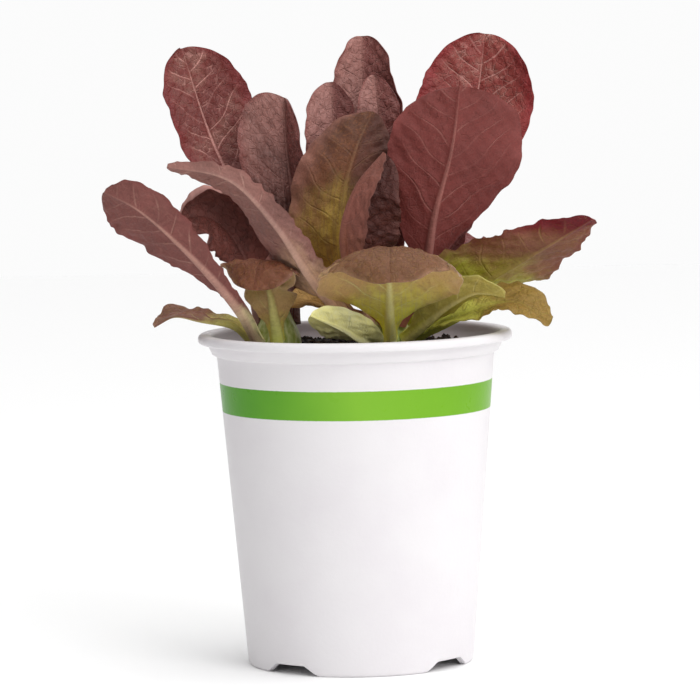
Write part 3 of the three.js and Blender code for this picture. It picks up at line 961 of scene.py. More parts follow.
@dataclass(frozen=True)
class LeafFinish:
    """Colours of one kind of leaf and how they spread along it.

    flush gives the shares of the leaf's length between which the base colour turns into the blade's,
    first on the upper face and then on the underside. On the deep red, ruby, grey pink and dusky tones
    the darker base colour is painted shade near the plant's centre. The shaded half's colour is painted
    shade on one half, standing for the shade of a fold: the right half where its side is 1 and the left
    one where it is -1. glow is the share of light that sinks into the blade.
    """

    # Scales across and along the leaf per millimetre, detail and roughness, and the net's scale
    STREAK = ((1.3, 0.07), 3.0, 0.55)
    WRINKLE = ((0.55, 0.3), 4.0, 0.6)
    NET = 0.42
    # Levels of the noise between which streaks, patches, specks, breaks and the net take hold
    STREAKED = (0.35, 0.7)
    PATCHED = (0.47, 0.6)
    SPECKED = (0.5, 0.62)
    BROKEN = (0.42, 0.58)
    NETTED = (0.42, 0.62)
    # Shares of the length over which the margin, the blushed tip and the net start, and the midrib fades
    MARGIN_FROM = (0.15, 0.4)
    BLUSH_FROM = (0.78, 0.95)
    NET_FROM = (0.25, 0.5)
    MIDRIB_FADE = (0.8, 0.98)
    # Shares of the half width over which side veins and the net end
    SIDE_VEIN_END = (0.5, 0.95)
    NET_END = (0.5, 0.9)
    # Distances over which side veins leave the midrib, end at their edges, and the painted shade on one half
    # starts
    SIDE_VEIN_START = (0.2, 1.2)
    SIDE_VEIN_EDGE = (0.08, 0.55)
    HALF_EDGE = (-0.5, 2.0)
    # Half width of the midrib's line at the tip and how much it gains to the base, and its soft edge
    MIDRIB = (0.3, 2.2)
    MIDRIB_EDGE = (0.3, 1.0)
    NET_EDGE = (0.02, 0.1)
    # How far noise moves the net and the colours, and how strong patches and the painted shade on one half
    # are
    NET_DRIFT = 2.4
    CLOUD_DRIFT = 0.3
    MOTTLE_DRIFT = 0.16
    UNDERSIDE = 0.8
    HALF_SHADE = 0.75
    # Strength of each kind of vein, on the upper face and on the underside
    SIDE_VEIN = (0.75, 0.5)
    NET_VEIN = (0.4, 0.08)
    # Contrast of the skin's fine tone, and how the finished colour is lifted
    TONE_STOPS = [(0.2, (0.16, 0.16, 0.16)), (0.8, (0.84, 0.84, 0.84))]
    TONE = 0.7
    SATURATION = 1.05
    BRIGHTNESS = 1.06
    # Depth of the relief, the sheen, and how far light goes inside the blade
    RELIEF = 0.9
    ROUGHNESS = 0.54
    SPECULAR = 0.3
    GLOW_RADIUS = (1.0, 1.0, 0.5)
    GLOW_DEPTH = 3.0

    upper: Colour
    under: Colour
    # Colour at the leaf's base; on some red tones it is darker as painted shade near the plant's centre
    base: Colour
    vein: Colour
    under_vein: Colour
    patch: Colour
    margin: Colour
    blush: Optional[Colour] = None
    # Painted shade over one half, standing for the shade of a fold, with its side and where it starts
    shaded_half: Optional[Colour] = None
    shaded_half_side: float = 1.0
    shaded_half_from: Pair = (0.0, 0.2)
    flush: tuple[float, float, float, float] = (0.08, 0.42, 0.12, 0.45)
    net: float = 0.5
    rib: float = 0.55
    patches: float = 0.3
    rim: float = 0.5
    rim_from: float = 0.8
    spacing: float = 7.5
    speck: float = 0.15
    gloss: float = 0.0
    crinkle: float = 0.5
    glow: float = 0.0

    def ground(self, sheet: LeafSheet) -> tuple[Value, Value]:
        """Colour the blade from base to tip, with patches, a margin, a blushed tip and painted shade on one
        half.

        Args:
            sheet: The leaf's places and noise.

        Returns:
            The upper face's colour and the underside's.
        """
        board, along, share = sheet.board, sheet.along, sheet.share
        cloud, mottle = sheet.cloud - 0.5, sheet.mottle - 0.5
        drift = along + cloud * self.CLOUD_DRIFT + mottle * self.MOTTLE_DRIFT + share * 0.1
        streak = sheet.stretched(*self.STREAK)
        # Base colour, which on the deep red, ruby, grey pink and dusky tones is painted shade near the
        # plant's centre
        base = board.mix(streak.ramp(*self.STREAKED) * 0.5, self.base, self.under_vein)
        spots = (sheet.cloud * 0.6 + sheet.mottle * 0.4).ramp(*self.PATCHED) * self.patches
        spots = spots.most(sheet.dapple.ramp(*self.SPECKED) * self.speck)
        rim = (share + cloud * self.CLOUD_DRIFT).ramp(self.rim_from, 1.0)
        rim = rim * along.ramp(*self.MARGIN_FROM) * self.rim
        faces = []
        for blade, flush, strength in (
            (self.upper, self.flush[:2], 1.0), (self.under, self.flush[2:], self.UNDERSIDE),
        ):
            colour = board.mix(drift.ramp(*flush), base, blade)
            colour = board.mix(spots * strength, colour, self.patch)
            faces.append(board.mix(rim * strength, colour, self.margin))
        upper, under = faces
        if self.blush is not None:
            tip = along + sheet.across / sheet.breadth * 0.12 + mottle * 0.1
            under = board.mix(tip.ramp(*self.BLUSH_FROM), under, self.blush)
        # Painted shade over one half, standing for the shade of a fold
        if self.shaded_half is not None:
            half = (sheet.across * self.shaded_half_side).ramp(*self.HALF_EDGE)
            half = half * drift.ramp(*self.shaded_half_from) * self.HALF_SHADE
            upper, under = (board.mix(half, colour, self.shaded_half) for colour in (upper, under))
        return upper, under

    def veins(self, sheet: LeafSheet) -> tuple[Value, Value, Value]:
        """Draw the midrib, the side veins and the net of fine veins between them.

        Args:
            sheet: The leaf's places and noise.

        Returns:
            The three of them, each 1 on a vein and 0 off it.
        """
        board, along, away = sheet.board, sheet.along, sheet.away
        least, gain = self.MIDRIB
        half_width = (1 - along) ** 1.5 * gain + least
        fading = (1 - along * 0.4) * (1 - 0.7 * along.ramp(*self.MIDRIB_FADE))
        midrib = (1 - (away / half_width).ramp(*self.MIDRIB_EDGE)) * fading
        left = (-sheet.across).ramp(-0.01, 0.01)
        run = SideVeins.passed(sheet.reach, away, left, self.spacing)
        run = run + SideVeins.bearing(sheet.reach, away, sheet.seed).math("SINE") * SideVeins.WANDER
        gap = abs(run.math("FRACT") - 0.5) * self.spacing
        broken = 0.3 + 0.7 * sheet.cloud.ramp(*self.BROKEN)
        inside = (1 - sheet.share.ramp(*self.SIDE_VEIN_END)) * away.ramp(*self.SIDE_VEIN_START)
        wander = board.vector(
            sheet.across + (sheet.mottle - 0.5) * self.NET_DRIFT,
            sheet.reach + (sheet.cloud - 0.5) * self.NET_DRIFT,
            sheet.seed,
        )
        net = 1 - board.cells(wander, self.NET).ramp(*self.NET_EDGE)
        return midrib, broken * (1 - gap.ramp(*self.SIDE_VEIN_EDGE)) * inside, net

    def material(self, name: str, seed: float) -> bpy.types.Material:
        """Build the material.

        Args:
            name: The material's name.
            seed: Shifts the noise so that no two leaves share a pattern.

        Returns:
            The material.
        """
        board = Board.material(name)
        sheet = LeafSheet(board, seed)
        upper, under = self.ground(sheet)
        midrib, side_vein, net = self.veins(sheet)
        patchy = sheet.mottle.ramp(*self.NETTED) * sheet.along.ramp(*self.NET_FROM)
        fine = net * patchy * (1 - sheet.share.ramp(*self.NET_END))
        lines = midrib.most(side_vein * self.SIDE_VEIN[0]).most(fine * self.NET_VEIN[0])
        upper = board.mix(lines * self.net, upper, self.vein)
        under = board.mix(midrib.most(side_vein * self.SIDE_VEIN[1]) * self.rib, under, self.under_vein)
        under = board.mix(fine * self.NET_VEIN[1], under, self.under_vein)

        # Fine tone of the skin
        light = (sheet.dapple - 0.5) * 0.5 + (sheet.cloud - 0.5) * 0.5 + 0.5
        colour = board.mix(sheet.side, under, upper)
        colour = board.mix(self.TONE, colour, board.colours(light, self.TONE_STOPS), "OVERLAY")
        lift = {"Saturation": self.SATURATION, "Value": self.BRIGHTNESS, "Color": colour}
        colour = board.node("ShaderNodeHueSaturation", None, lift, "Color")

        # Relief: sunken veins, the net on the upper face, wrinkles and dapples
        height = 0.35 * (1 - lines) + sheet.side * 0.15 * (1 - net)
        height = height + self.crinkle * sheet.stretched(*self.WRINKLE) + 0.22 * sheet.dapple
        rough = self.ROUGHNESS - self.gloss + 0.14 * sheet.mottle - sheet.side * 0.08 + lines * 0.05
        return board.surface(
            colour, rough, board.bump(height, self.RELIEF), Specular_IOR_Level=self.SPECULAR,
            Subsurface_Weight=self.glow, Subsurface_Radius=self.GLOW_RADIUS,
            Subsurface_Scale=self.GLOW_DEPTH * MM,
        )


class LeafTone(Enum):
    """The kinds of leaf colour on the plant, some with painted shade at the base, over one half or on the
    upper face.
    """

    # Deep red, with a darker base that is painted shade near the plant's centre
    DEEP_RED = LeafFinish(
        upper=tint(107, 51, 47), under=tint(122, 82, 76), base=tint(94, 34, 35), vein=tint(198, 146, 138),
        under_vein=tint(160, 120, 108), patch=tint(122, 84, 74), margin=tint(112, 38, 40), net=0.85,
        patches=0.6, gloss=0.12, crinkle=0.45, rim=0.7, rim_from=0.6, flush=(0.3, 0.75, 0.12, 0.45),
    )
    # Ruby, with a darker base that is painted shade near the plant's centre
    RUBY = LeafFinish(
        upper=tint(134, 64, 60), under=tint(128, 86, 80), base=tint(118, 52, 48), vein=tint(208, 156, 148),
        under_vein=tint(160, 120, 108), patch=tint(146, 98, 88), margin=tint(132, 44, 48), net=0.85,
        patches=0.6, gloss=0.12, crinkle=0.45, rim=0.7, rim_from=0.6,
    )
    # Grey pink, with a darker base and a darker half that are painted shade
    GREY_PINK = LeafFinish(
        upper=tint(160, 115, 108), under=tint(138, 98, 92), base=tint(88, 50, 46), vein=tint(178, 136, 128),
        under_vein=tint(160, 120, 112), patch=tint(122, 80, 74), margin=tint(124, 66, 62), net=0.25,
        gloss=0.2, crinkle=1.0, shaded_half=tint(104, 54, 51), flush=(0.28, 0.7, 0.28, 0.7),
    )
    # Dusky, with a darker base and a darker half that are painted shade
    DUSKY = LeafFinish(
        upper=tint(144, 101, 94), under=tint(126, 88, 82), base=tint(70, 34, 29), vein=tint(168, 126, 118),
        under_vein=tint(150, 112, 104), patch=tint(112, 72, 66), margin=tint(116, 60, 57), net=0.25,
        gloss=0.22, crinkle=1.0, shaded_half=tint(94, 46, 43), flush=(0.5, 0.9, 0.5, 0.9),
    )
    MAUVE = LeafFinish(
        upper=tint(106, 56, 52), under=tint(110, 66, 61), base=tint(250, 244, 186), vein=tint(178, 130, 122),
        under_vein=tint(186, 146, 132), patch=tint(108, 62, 58), margin=tint(110, 55, 53), rib=0.65,
        flush=(0.05, 0.4, 0.16, 0.36),
    )
    OLIVE_MAUVE = LeafFinish(
        upper=tint(120, 80, 68), under=tint(120, 82, 70), base=tint(244, 232, 150), vein=tint(160, 130, 112),
        under_vein=tint(190, 188, 122), patch=tint(116, 76, 66), margin=tint(112, 66, 60),
        flush=(0.38, 0.66, 0.38, 0.66), net=0.3, glow=0.15,
    )
    PINK_MAUVE = LeafFinish(
        upper=tint(116, 62, 58), under=tint(125, 87, 80), base=tint(222, 184, 148), vein=tint(178, 130, 122),
        under_vein=tint(182, 146, 134), patch=tint(132, 92, 84), margin=tint(122, 78, 72), rib=0.6,
        flush=(0.05, 0.4, 0.24, 0.6),
    )
    BROAD_RED = LeafFinish(
        upper=tint(112, 54, 52), under=tint(104, 48, 44), base=tint(168, 96, 78), vein=tint(186, 134, 126),
        under_vein=tint(150, 102, 94), patch=tint(92, 44, 41), margin=tint(114, 58, 55), rib=0.65,
        patches=0.45, flush=(0.08, 0.42, 0.0, 0.4),
    )
    # Olive, with painted shade over its left half from midway up
    OLIVE = LeafFinish(
        upper=tint(104, 64, 56), under=tint(90, 56, 42), base=tint(208, 176, 88), vein=tint(150, 124, 96),
        under_vein=tint(142, 116, 84), patch=tint(118, 74, 48), margin=tint(142, 98, 88), rib=0.2,
        flush=(0.15, 0.6, 0.36, 0.8), patches=0.5, speck=0.65, rim=0.75, rim_from=0.5, shaded_half=tint(78, 45, 39),
        shaded_half_side=-1.0, shaded_half_from=(0.45, 0.75),
    )
    # Copper, whose dark upper face and veins are painted shade, the shaded inside of its fold
    COPPER = LeafFinish(
        upper=tint(72, 36, 31), under=tint(124, 77, 67), base=tint(186, 120, 84), vein=tint(66, 38, 33),
        under_vein=tint(150, 104, 92), patch=tint(112, 66, 57), margin=tint(98, 60, 53), rib=0.3,
        flush=(0.0, 0.1, 0.2, 0.7), crinkle=0.3,
    )
    DARK = LeafFinish(
        upper=tint(116, 68, 61), under=tint(176, 130, 122), base=tint(96, 64, 52), vein=tint(116, 78, 72),
        under_vein=tint(146, 110, 102), patch=tint(70, 42, 38), margin=tint(84, 44, 42), patches=0.5,
    )
    TAN_RED = LeafFinish(
        upper=tint(108, 72, 52), under=tint(188, 152, 110), base=tint(246, 240, 112), vein=tint(158, 124, 98),
        under_vein=tint(228, 220, 156), patch=tint(138, 100, 82), margin=tint(146, 110, 88), rib=0.85,
        flush=(0.1, 0.4, 0.2, 0.6), net=0.35, rim=0.8, rim_from=0.72, glow=0.4,
    )
    BRONZE = LeafFinish(
        upper=tint(117, 72, 54), under=tint(186, 156, 112), base=tint(228, 226, 88), vein=tint(150, 106, 84),
        under_vein=tint(200, 204, 132), patch=tint(136, 98, 84), margin=tint(150, 112, 98), rib=0.6,
        flush=(0.1, 0.4, 0.02, 0.34), net=0.3, glow=0.4,
    )
    TAN = LeafFinish(
        upper=tint(140, 120, 72), under=tint(156, 142, 78), base=tint(204, 202, 94), vein=tint(190, 176, 120),
        under_vein=tint(204, 192, 138), patch=tint(146, 120, 68), margin=tint(200, 192, 116),
        flush=(0.2, 0.6, 0.1, 0.42), rim_from=0.88, glow=0.25,
    )
    GREEN_RED = LeafFinish(
        upper=tint(122, 42, 45), under=tint(108, 66, 52), base=tint(168, 172, 60), vein=tint(176, 128, 104),
        under_vein=tint(148, 126, 76), patch=tint(112, 84, 50), margin=tint(92, 38, 34),
        blush=tint(86, 16, 22), flush=(0.1, 0.5, 0.36, 0.7), patches=0.3, rim=0.8, rim_from=0.55, rib=0.45,
        glow=0.1,
    )
    OCHRE = LeafFinish(
        upper=tint(136, 108, 58), under=tint(140, 114, 64), base=tint(218, 220, 108), vein=tint(168, 160, 84),
        under_vein=tint(180, 180, 92), patch=tint(126, 102, 52), margin=tint(124, 96, 54),
        flush=(0.42, 0.72, 0.42, 0.72), net=0.3, glow=0.15,
    )
    PALE_GREEN = LeafFinish(
        upper=tint(252, 246, 164), under=tint(252, 246, 178), base=tint(254, 252, 132),
        vein=tint(240, 236, 186), under_vein=tint(240, 240, 206), patch=tint(236, 238, 176),
        margin=tint(232, 230, 178), net=0.3, patches=0.2, crinkle=0.25,
    )
    RUST = LeafFinish(
        upper=tint(190, 152, 96), under=tint(180, 142, 96), base=tint(206, 186, 90), vein=tint(176, 134, 84),
        under_vein=tint(174, 140, 88), patch=tint(136, 96, 48), margin=tint(132, 94, 50), net=0.3,
    )


@dataclass
class Path:
    """A leaf's midrib in the air: points and unit tangents at even shares of its length, in millimetres."""

    points: np.ndarray
    tangents: np.ndarray
    length: float


@dataclass
class LeafNet:
    """Where the rows and columns of a leaf's grid lie, in shares and in millimetres.

    Rows follow the midrib and columns go from the left margin to the right one. along, reach and opened
    hold one number for each row; rim, hand, half and phase one for each column; and full, away and veins
    one for each point. opened rises from 0 on the stalk to 1 where the blade is widest.
    """

    along: np.ndarray
    reach: np.ndarray
    opened: np.ndarray
    rim: np.ndarray
    hand: np.ndarray
    half: np.ndarray
    phase: np.ndarray
    full: np.ndarray
    away: np.ndarray
    veins: np.ndarray


@dataclass
class Leaf:
    """One leaf: a midrib through the air and two half blades that fold, curl and ruffle, in millimetres.

    width, fold and curl hold the left half and then the right half, as seen on the upper face. azimuth
    and height say where the leaf leaves its stem, midrib lists the points that it goes through next, and
    face is the way that the upper face looks. blade holds the shares of the length where the blade
    starts to open and where it is widest, and wave the ruffle's height and how many there are. tip says
    how blunt the end is, and skew how far the rows slant. lobe and teeth are heights on the margin, and
    pitch is the step from tooth to tooth. neck is the stalk's half width and channel its fold. The
    midrib's rib_width and rib_height go from base to tip, and thick from the stalk to the blade.
    """

    # How rows crowd towards the tip and columns towards the midrib, and the fewest rows
    ROW_EASE = 1.5
    COLUMN_EASE = 1.25
    LEAST_ROWS = 24
    # How finely the midrib is drawn between its points and sampled, and how far its root sinks in
    CURVE_STEPS = 120
    CURVE_POINTS = 400
    ROOT_SINK = 0.6
    # Share of the length by which the upper face has turned its own way, and where a half's width ends,
    # a hair past the tip so that the last row isn't a point
    TURNED_BY = 0.5
    WIDTH_END = 1.0015
    # Least breadth and curl, because both are divided by, and how much thinner the margin is
    LEAST_BREADTH = 0.05
    LEAST_CURL = 1e-3
    MARGIN_THINNING = 0.45
    # Steps of the ruffle's phase from leaf to leaf and from half to half, and of the noise's seed
    WAVE_STEP = (1.7, 2.3)
    SEED_STEP = 13.7
    # Radians per millimetre of the lobes, the teeth and two sizes of blister
    LOBE_TURN = (0.62, 1.35, 0.3)
    TOOTH_TURN = (0.23, 0.41)
    BLISTER_TURN = (0.9, 1.1, 0.23)
    PIMPLE_TURN = (1.7, 0.8, 1.9, 0.5)
    # Heights of the swelling between side veins, the blisters, the midrib's groove and the side ribs
    SWELL = 0.3
    BLISTER = 0.3
    GROOVE = 0.35
    GROOVE_WIDTH = 0.9
    SIDE_RIB = 0.22
    SIDE_RIB_WIDTH = 0.55
    # Angle in degrees past which an edge is sharp
    SHARP = 62.0

    name: str
    stem: Stem
    azimuth: float
    height: float
    midrib: list[Point]
    width: Pair
    face: Point
    blade: Pair
    fold: Pair
    curl: Pair
    wave: Pair
    tone: LeafTone
    order: int = 0
    tip: float = 2.3
    skew: float = 0.0
    lobe: float = 0.3
    teeth: float = 0.0
    pitch: float = 3.4
    neck: float = 2.5
    channel: float = 22.0
    rib_width: Pair = (2.1, 0.35)
    rib_height: Pair = (2.2, 0.25)
    thick: Pair = (1.0, 0.45)
    row_step: float = 0.75
    half_columns: int = 26

    @property
    def seed(self) -> float:
        """Shift of the leaf's own noise."""
        return self.order * self.SEED_STEP

    def outward(self) -> np.ndarray:
        """Level direction in which the leaf leaves its stem."""
        bearing = math.radians(self.azimuth)
        return np.array([math.cos(bearing), math.sin(bearing), 0.0])

    def path(self) -> Path:
        """Draw a smooth curve through the midrib's points and sample it evenly.

        Returns:
            The curve.
        """
        reach = self.stem.radius(self.height) - self.ROOT_SINK
        root = np.array([self.stem.x, self.stem.y, self.height]) + reach * self.outward()
        knots = np.array([root, *self.midrib], float)
        knots = np.vstack([2 * knots[0] - knots[1], knots, 2 * knots[-1] - knots[-2]])
        spans = np.sqrt(np.linalg.norm(np.diff(knots, axis=0), axis=1))
        t = np.linspace(0, 1, self.CURVE_STEPS, endpoint=False)[:, None]
        pieces = []
        for first, second, third, fourth, a, b, c in zip(
            knots, knots[1:], knots[2:], knots[3:], spans, spans[1:], spans[2:]
        ):
            leave = ((second - first) / a - (third - first) / (a + b) + (third - second) / b) * b
            arrive = ((third - second) / b - (fourth - second) / (b + c) + (fourth - third) / c) * b
            square = -3 * second + 3 * third - 2 * leave - arrive
            cube = 2 * second - 2 * third + leave + arrive
            pieces.append(second + leave * t + square * t**2 + cube * t**3)
        drawn = np.vstack([*pieces, knots[-2]])
        run = np.concatenate([[0.0], np.cumsum(np.linalg.norm(np.diff(drawn, axis=0), axis=1))])
        points = resample(drawn, run, np.linspace(0, run[-1], self.CURVE_POINTS))
        return Path(points, unit(np.gradient(points, axis=0)), float(run[-1]))

    def half_width(self, full: float, along: np.ndarray) -> np.ndarray:
        """Work out how wide one half of the blade is.

        Args:
            full: The half's greatest width.
            along: Shares of the leaf's length.

        Returns:
            The half's width there.
        """
        start, widest = self.blade
        wide = blend(self.neck, full, smooth(start, widest, along))
        past = np.clip((along - widest) / (self.WIDTH_END - widest), 0, 1)
        return wide * np.sqrt(1 - past**self.tip)

    def net(self, length: float) -> LeafNet:
        """Lay out the rows and columns of the leaf's grid.

        Args:
            length: The midrib's length.

        Returns:
            Where they lie.
        """
        rows = max(self.LEAST_ROWS, int(length / self.row_step))
        along = 1 - (1 - np.linspace(0, 1, rows + 1)) ** self.ROW_EASE
        share = np.linspace(-1, 1, 2 * self.half_columns + 1)
        rim = (np.abs(share) ** self.COLUMN_EASE)[None, :]
        half = (share > 0).astype(int)
        reach = (along * length)[:, None]
        full = np.stack([self.half_width(width, along) for width in self.width], axis=1)[:, half]
        away = rim * full
        veins = SideVeins.passed(reach, away, 1 - half, self.tone.value.spacing)
        veins = veins + SideVeins.WANDER * np.sin(SideVeins.bearing(reach, away, self.seed))
        return LeafNet(
            along=along[:, None], reach=reach, opened=smooth(*self.blade, along)[:, None], rim=rim,
            hand=np.sign(share)[None, :], half=half, full=full, away=away, veins=veins,
            phase=self.order * self.WAVE_STEP[0] + half[None, :] * self.WAVE_STEP[1],
        )

    def axes(self, net: LeafNet, path: Path) -> tuple[np.ndarray, np.ndarray, np.ndarray, np.ndarray]:
        """Set up the directions at each row.

        Args:
            net: The leaf's rows and columns.
            path: The midrib's curve.

        Returns:
            The midrib's point, and the ways ahead, up from the upper face, and out to the right.
        """
        along = net.along[:, 0]
        places = np.arange(self.CURVE_POINTS)
        wanted = along * (self.CURVE_POINTS - 1)
        centre = resample(path.points, places, wanted)
        ahead = unit(resample(path.tangents, places, wanted))
        facing = np.array(self.face) / np.linalg.norm(self.face)
        normal = blend(-self.outward(), facing, smooth(0, self.TURNED_BY, along)[:, None])
        normal = unit(normal - ahead * np.sum(normal * ahead, axis=1, keepdims=True))
        return centre, ahead, normal, np.cross(ahead, normal)

    def frill(self, net: LeafNet) -> np.ndarray:
        """Work out the lobes and teeth of the margin.

        Args:
            net: The leaf's rows and columns.

        Returns:
            How far each point goes out past the plain blade.
        """
        reach, phase = net.reach, net.phase
        slow, quick, drift = self.LOBE_TURN
        lobes = 0.6 * np.sin(reach * slow + phase * 3)
        lobes = lobes + 0.4 * np.sin(reach * quick + phase * 5 + np.sin(reach * drift))
        uneven, fading = self.TOOTH_TURN
        turn = math.pi * reach / self.pitch + phase * 3 + 0.9 * np.sin(reach * uneven + phase)
        tooth = (0.4 - np.abs(np.sin(turn))) * (0.7 + 0.5 * np.sin(reach * fading + phase * 4))
        near = smooth(0, 3, net.full) * smooth(0, 0.1, net.opened) * net.rim**4
        return (self.lobe * lobes + self.teeth * tooth) * near

    def section(self, net: LeafNet) -> tuple[np.ndarray, np.ndarray, np.ndarray]:
        """Fold and curl each row's two halves.

        Args:
            net: The leaf's rows and columns.

        Returns:
            How far each point goes out and up from the midrib, and how far its surface leans.
        """
        fold = np.radians(blend(self.channel, np.array(self.fold)[net.half][None, :], net.opened))
        curl = np.radians(np.array(self.curl)[net.half][None, :] * net.opened)
        curl = np.where(np.abs(curl) < self.LEAST_CURL, self.LEAST_CURL, curl)
        angle = fold + curl * net.rim
        radius = net.full / curl
        frill = self.frill(net)
        out = radius * (np.sin(angle) - np.sin(fold)) + frill * np.cos(angle)
        up = radius * (np.cos(fold) - np.cos(angle)) + frill * np.sin(angle)
        return out, up, angle * smooth(0, 0.6, net.away)

    def relief(self, net: LeafNet) -> np.ndarray:
        """Ruffle the margin, swell the skin between the veins and sink the midrib.

        Args:
            net: The leaf's rows and columns.

        Returns:
            How far each point rises from the plain blade.
        """
        reach, away, phase, rim = net.reach, net.away, net.phase, net.rim
        height, waves = self.wave
        turn = math.tau * waves * net.along
        ruffle = rim**2 * np.sin(turn + phase) + 0.4 * rim**4 * np.sin(2.7 * turn + 2 * phase)
        by_reach, by_away, slant = self.BLISTER_TURN
        blister = np.sin(reach * by_reach + phase) * np.sin(away * by_away + reach * slant + phase * 2)
        by_reach, by_away, across, slant = self.PIMPLE_TURN
        pimple = np.sin(reach * by_reach + away * by_away) * np.sin(away * across - reach * slant + phase)
        between = np.sin(math.pi * (net.veins + 0.5)) ** 2
        inside = smooth(0.5, 4, away) * smooth(0, 2, net.full - away)
        puff = inside * (self.SWELL * between + self.BLISTER * (blister + 0.5 * pimple))
        groove = self.GROOVE * np.exp(-((away / self.GROOVE_WIDTH) ** 2)) * smooth(0.05, 0.3, net.along)
        return net.opened * (height * ruffle + puff) - groove

    def depth(self, net: LeafNet) -> np.ndarray:
        """Work out how thick the leaf is, with its midrib and its side ribs.

        Args:
            net: The leaf's rows and columns.

        Returns:
            The thickness at each point.
        """
        rib_half = blend(*self.rib_width, net.along**0.5)
        rib_deep = blend(*self.rib_height, net.along**0.6)
        rib = rib_deep * np.clip(1 - (net.away / (1.25 * rib_half)) ** 2, 0, 1) ** 1.5
        off = np.abs(net.veins % 1 - 0.5) * self.tone.value.spacing
        side_rib = self.SIDE_RIB * net.opened * np.exp(-((off / self.SIDE_RIB_WIDTH) ** 2))
        skin = blend(*self.thick, net.opened) * (1 - self.MARGIN_THINNING * net.rim**3)
        return skin + rib + side_rib * (1 - net.rim) * smooth(0.3, 1.5, net.away)

    def faces(self, net: LeafNet, path: Path) -> tuple[np.ndarray, np.ndarray]:
        """Place every point of the leaf's two faces.

        Args:
            net: The leaf's rows and columns.
            path: The midrib's curve.

        Returns:
            The upper face's points and the underside's.
        """
        centre, ahead, normal, right = self.axes(net, path)
        out, up, lean = self.section(net)
        skin = spread(np.cos(lean), normal) - spread(net.hand * np.sin(lean), right)
        top = centre[:, None, :] + spread(net.hand * out, right) + spread(up, normal)
        top = top + skin * self.relief(net)[:, :, None]
        top = top - spread(net.hand * net.away * net.opened * self.skew, ahead)
        return top, top - skin * self.depth(net)[:, :, None]

    def build(self) -> bpy.types.Object:
        """Lay a grid on the leaf's surface, give it its thickness and its finish.

        Returns:
            The leaf.
        """
        path = self.path()
        net = self.net(path.length)
        top, low = (face.reshape(-1, 3) * MM for face in self.faces(net, path))
        rows, columns = net.full.shape
        marks = {
            "along": net.along, "across": net.hand * net.away, "reach": net.reach,
            "breadth": np.maximum(net.full, self.LEAST_BREADTH),
        }
        marks = {name: np.broadcast_to(mark, net.full.shape).reshape(-1) for name, mark in marks.items()}
        shape = bmesh.new()
        bmesh.ops.create_grid(shape, x_segments=columns - 1, y_segments=rows - 1, size=1.0)
        layers = {name: shape.verts.layers.float.new(name) for name in (*marks, "side")}
        spot = shape.verts.layers.int.new("spot")
        for vert in shape.verts:
            column = round((vert.co.x + 1) / 2 * (columns - 1))
            row = round((vert.co.y + 1) / 2 * (rows - 1))
            vert[spot] = row * columns + column
            for name, values in marks.items():
                vert[layers[name]] = float(values[vert[spot]])
            vert[layers["side"]] = 1.0
            vert.co = top[vert[spot]]
        made = bmesh.ops.extrude_face_region(shape, geom=shape.faces[:], use_keep_orig=True)
        for vert in (item for item in made["geom"] if isinstance(item, bmesh.types.BMVert)):
            vert.co = low[vert[spot]]
            vert[layers["side"]] = 0.0
        Bench.rounded(shape)
        Bench.crease(shape, self.SHARP)
        shape.verts.layers.int.remove(spot)
        material = self.tone.value.material(f"{self.name}_skin", self.seed)
        slot = "pale_leaf" if self.tone is LeafTone.PALE_GREEN else "red_leaf"
        return Bench.piece(shape, f"{self.name}_blade", material, slot, [self.name])


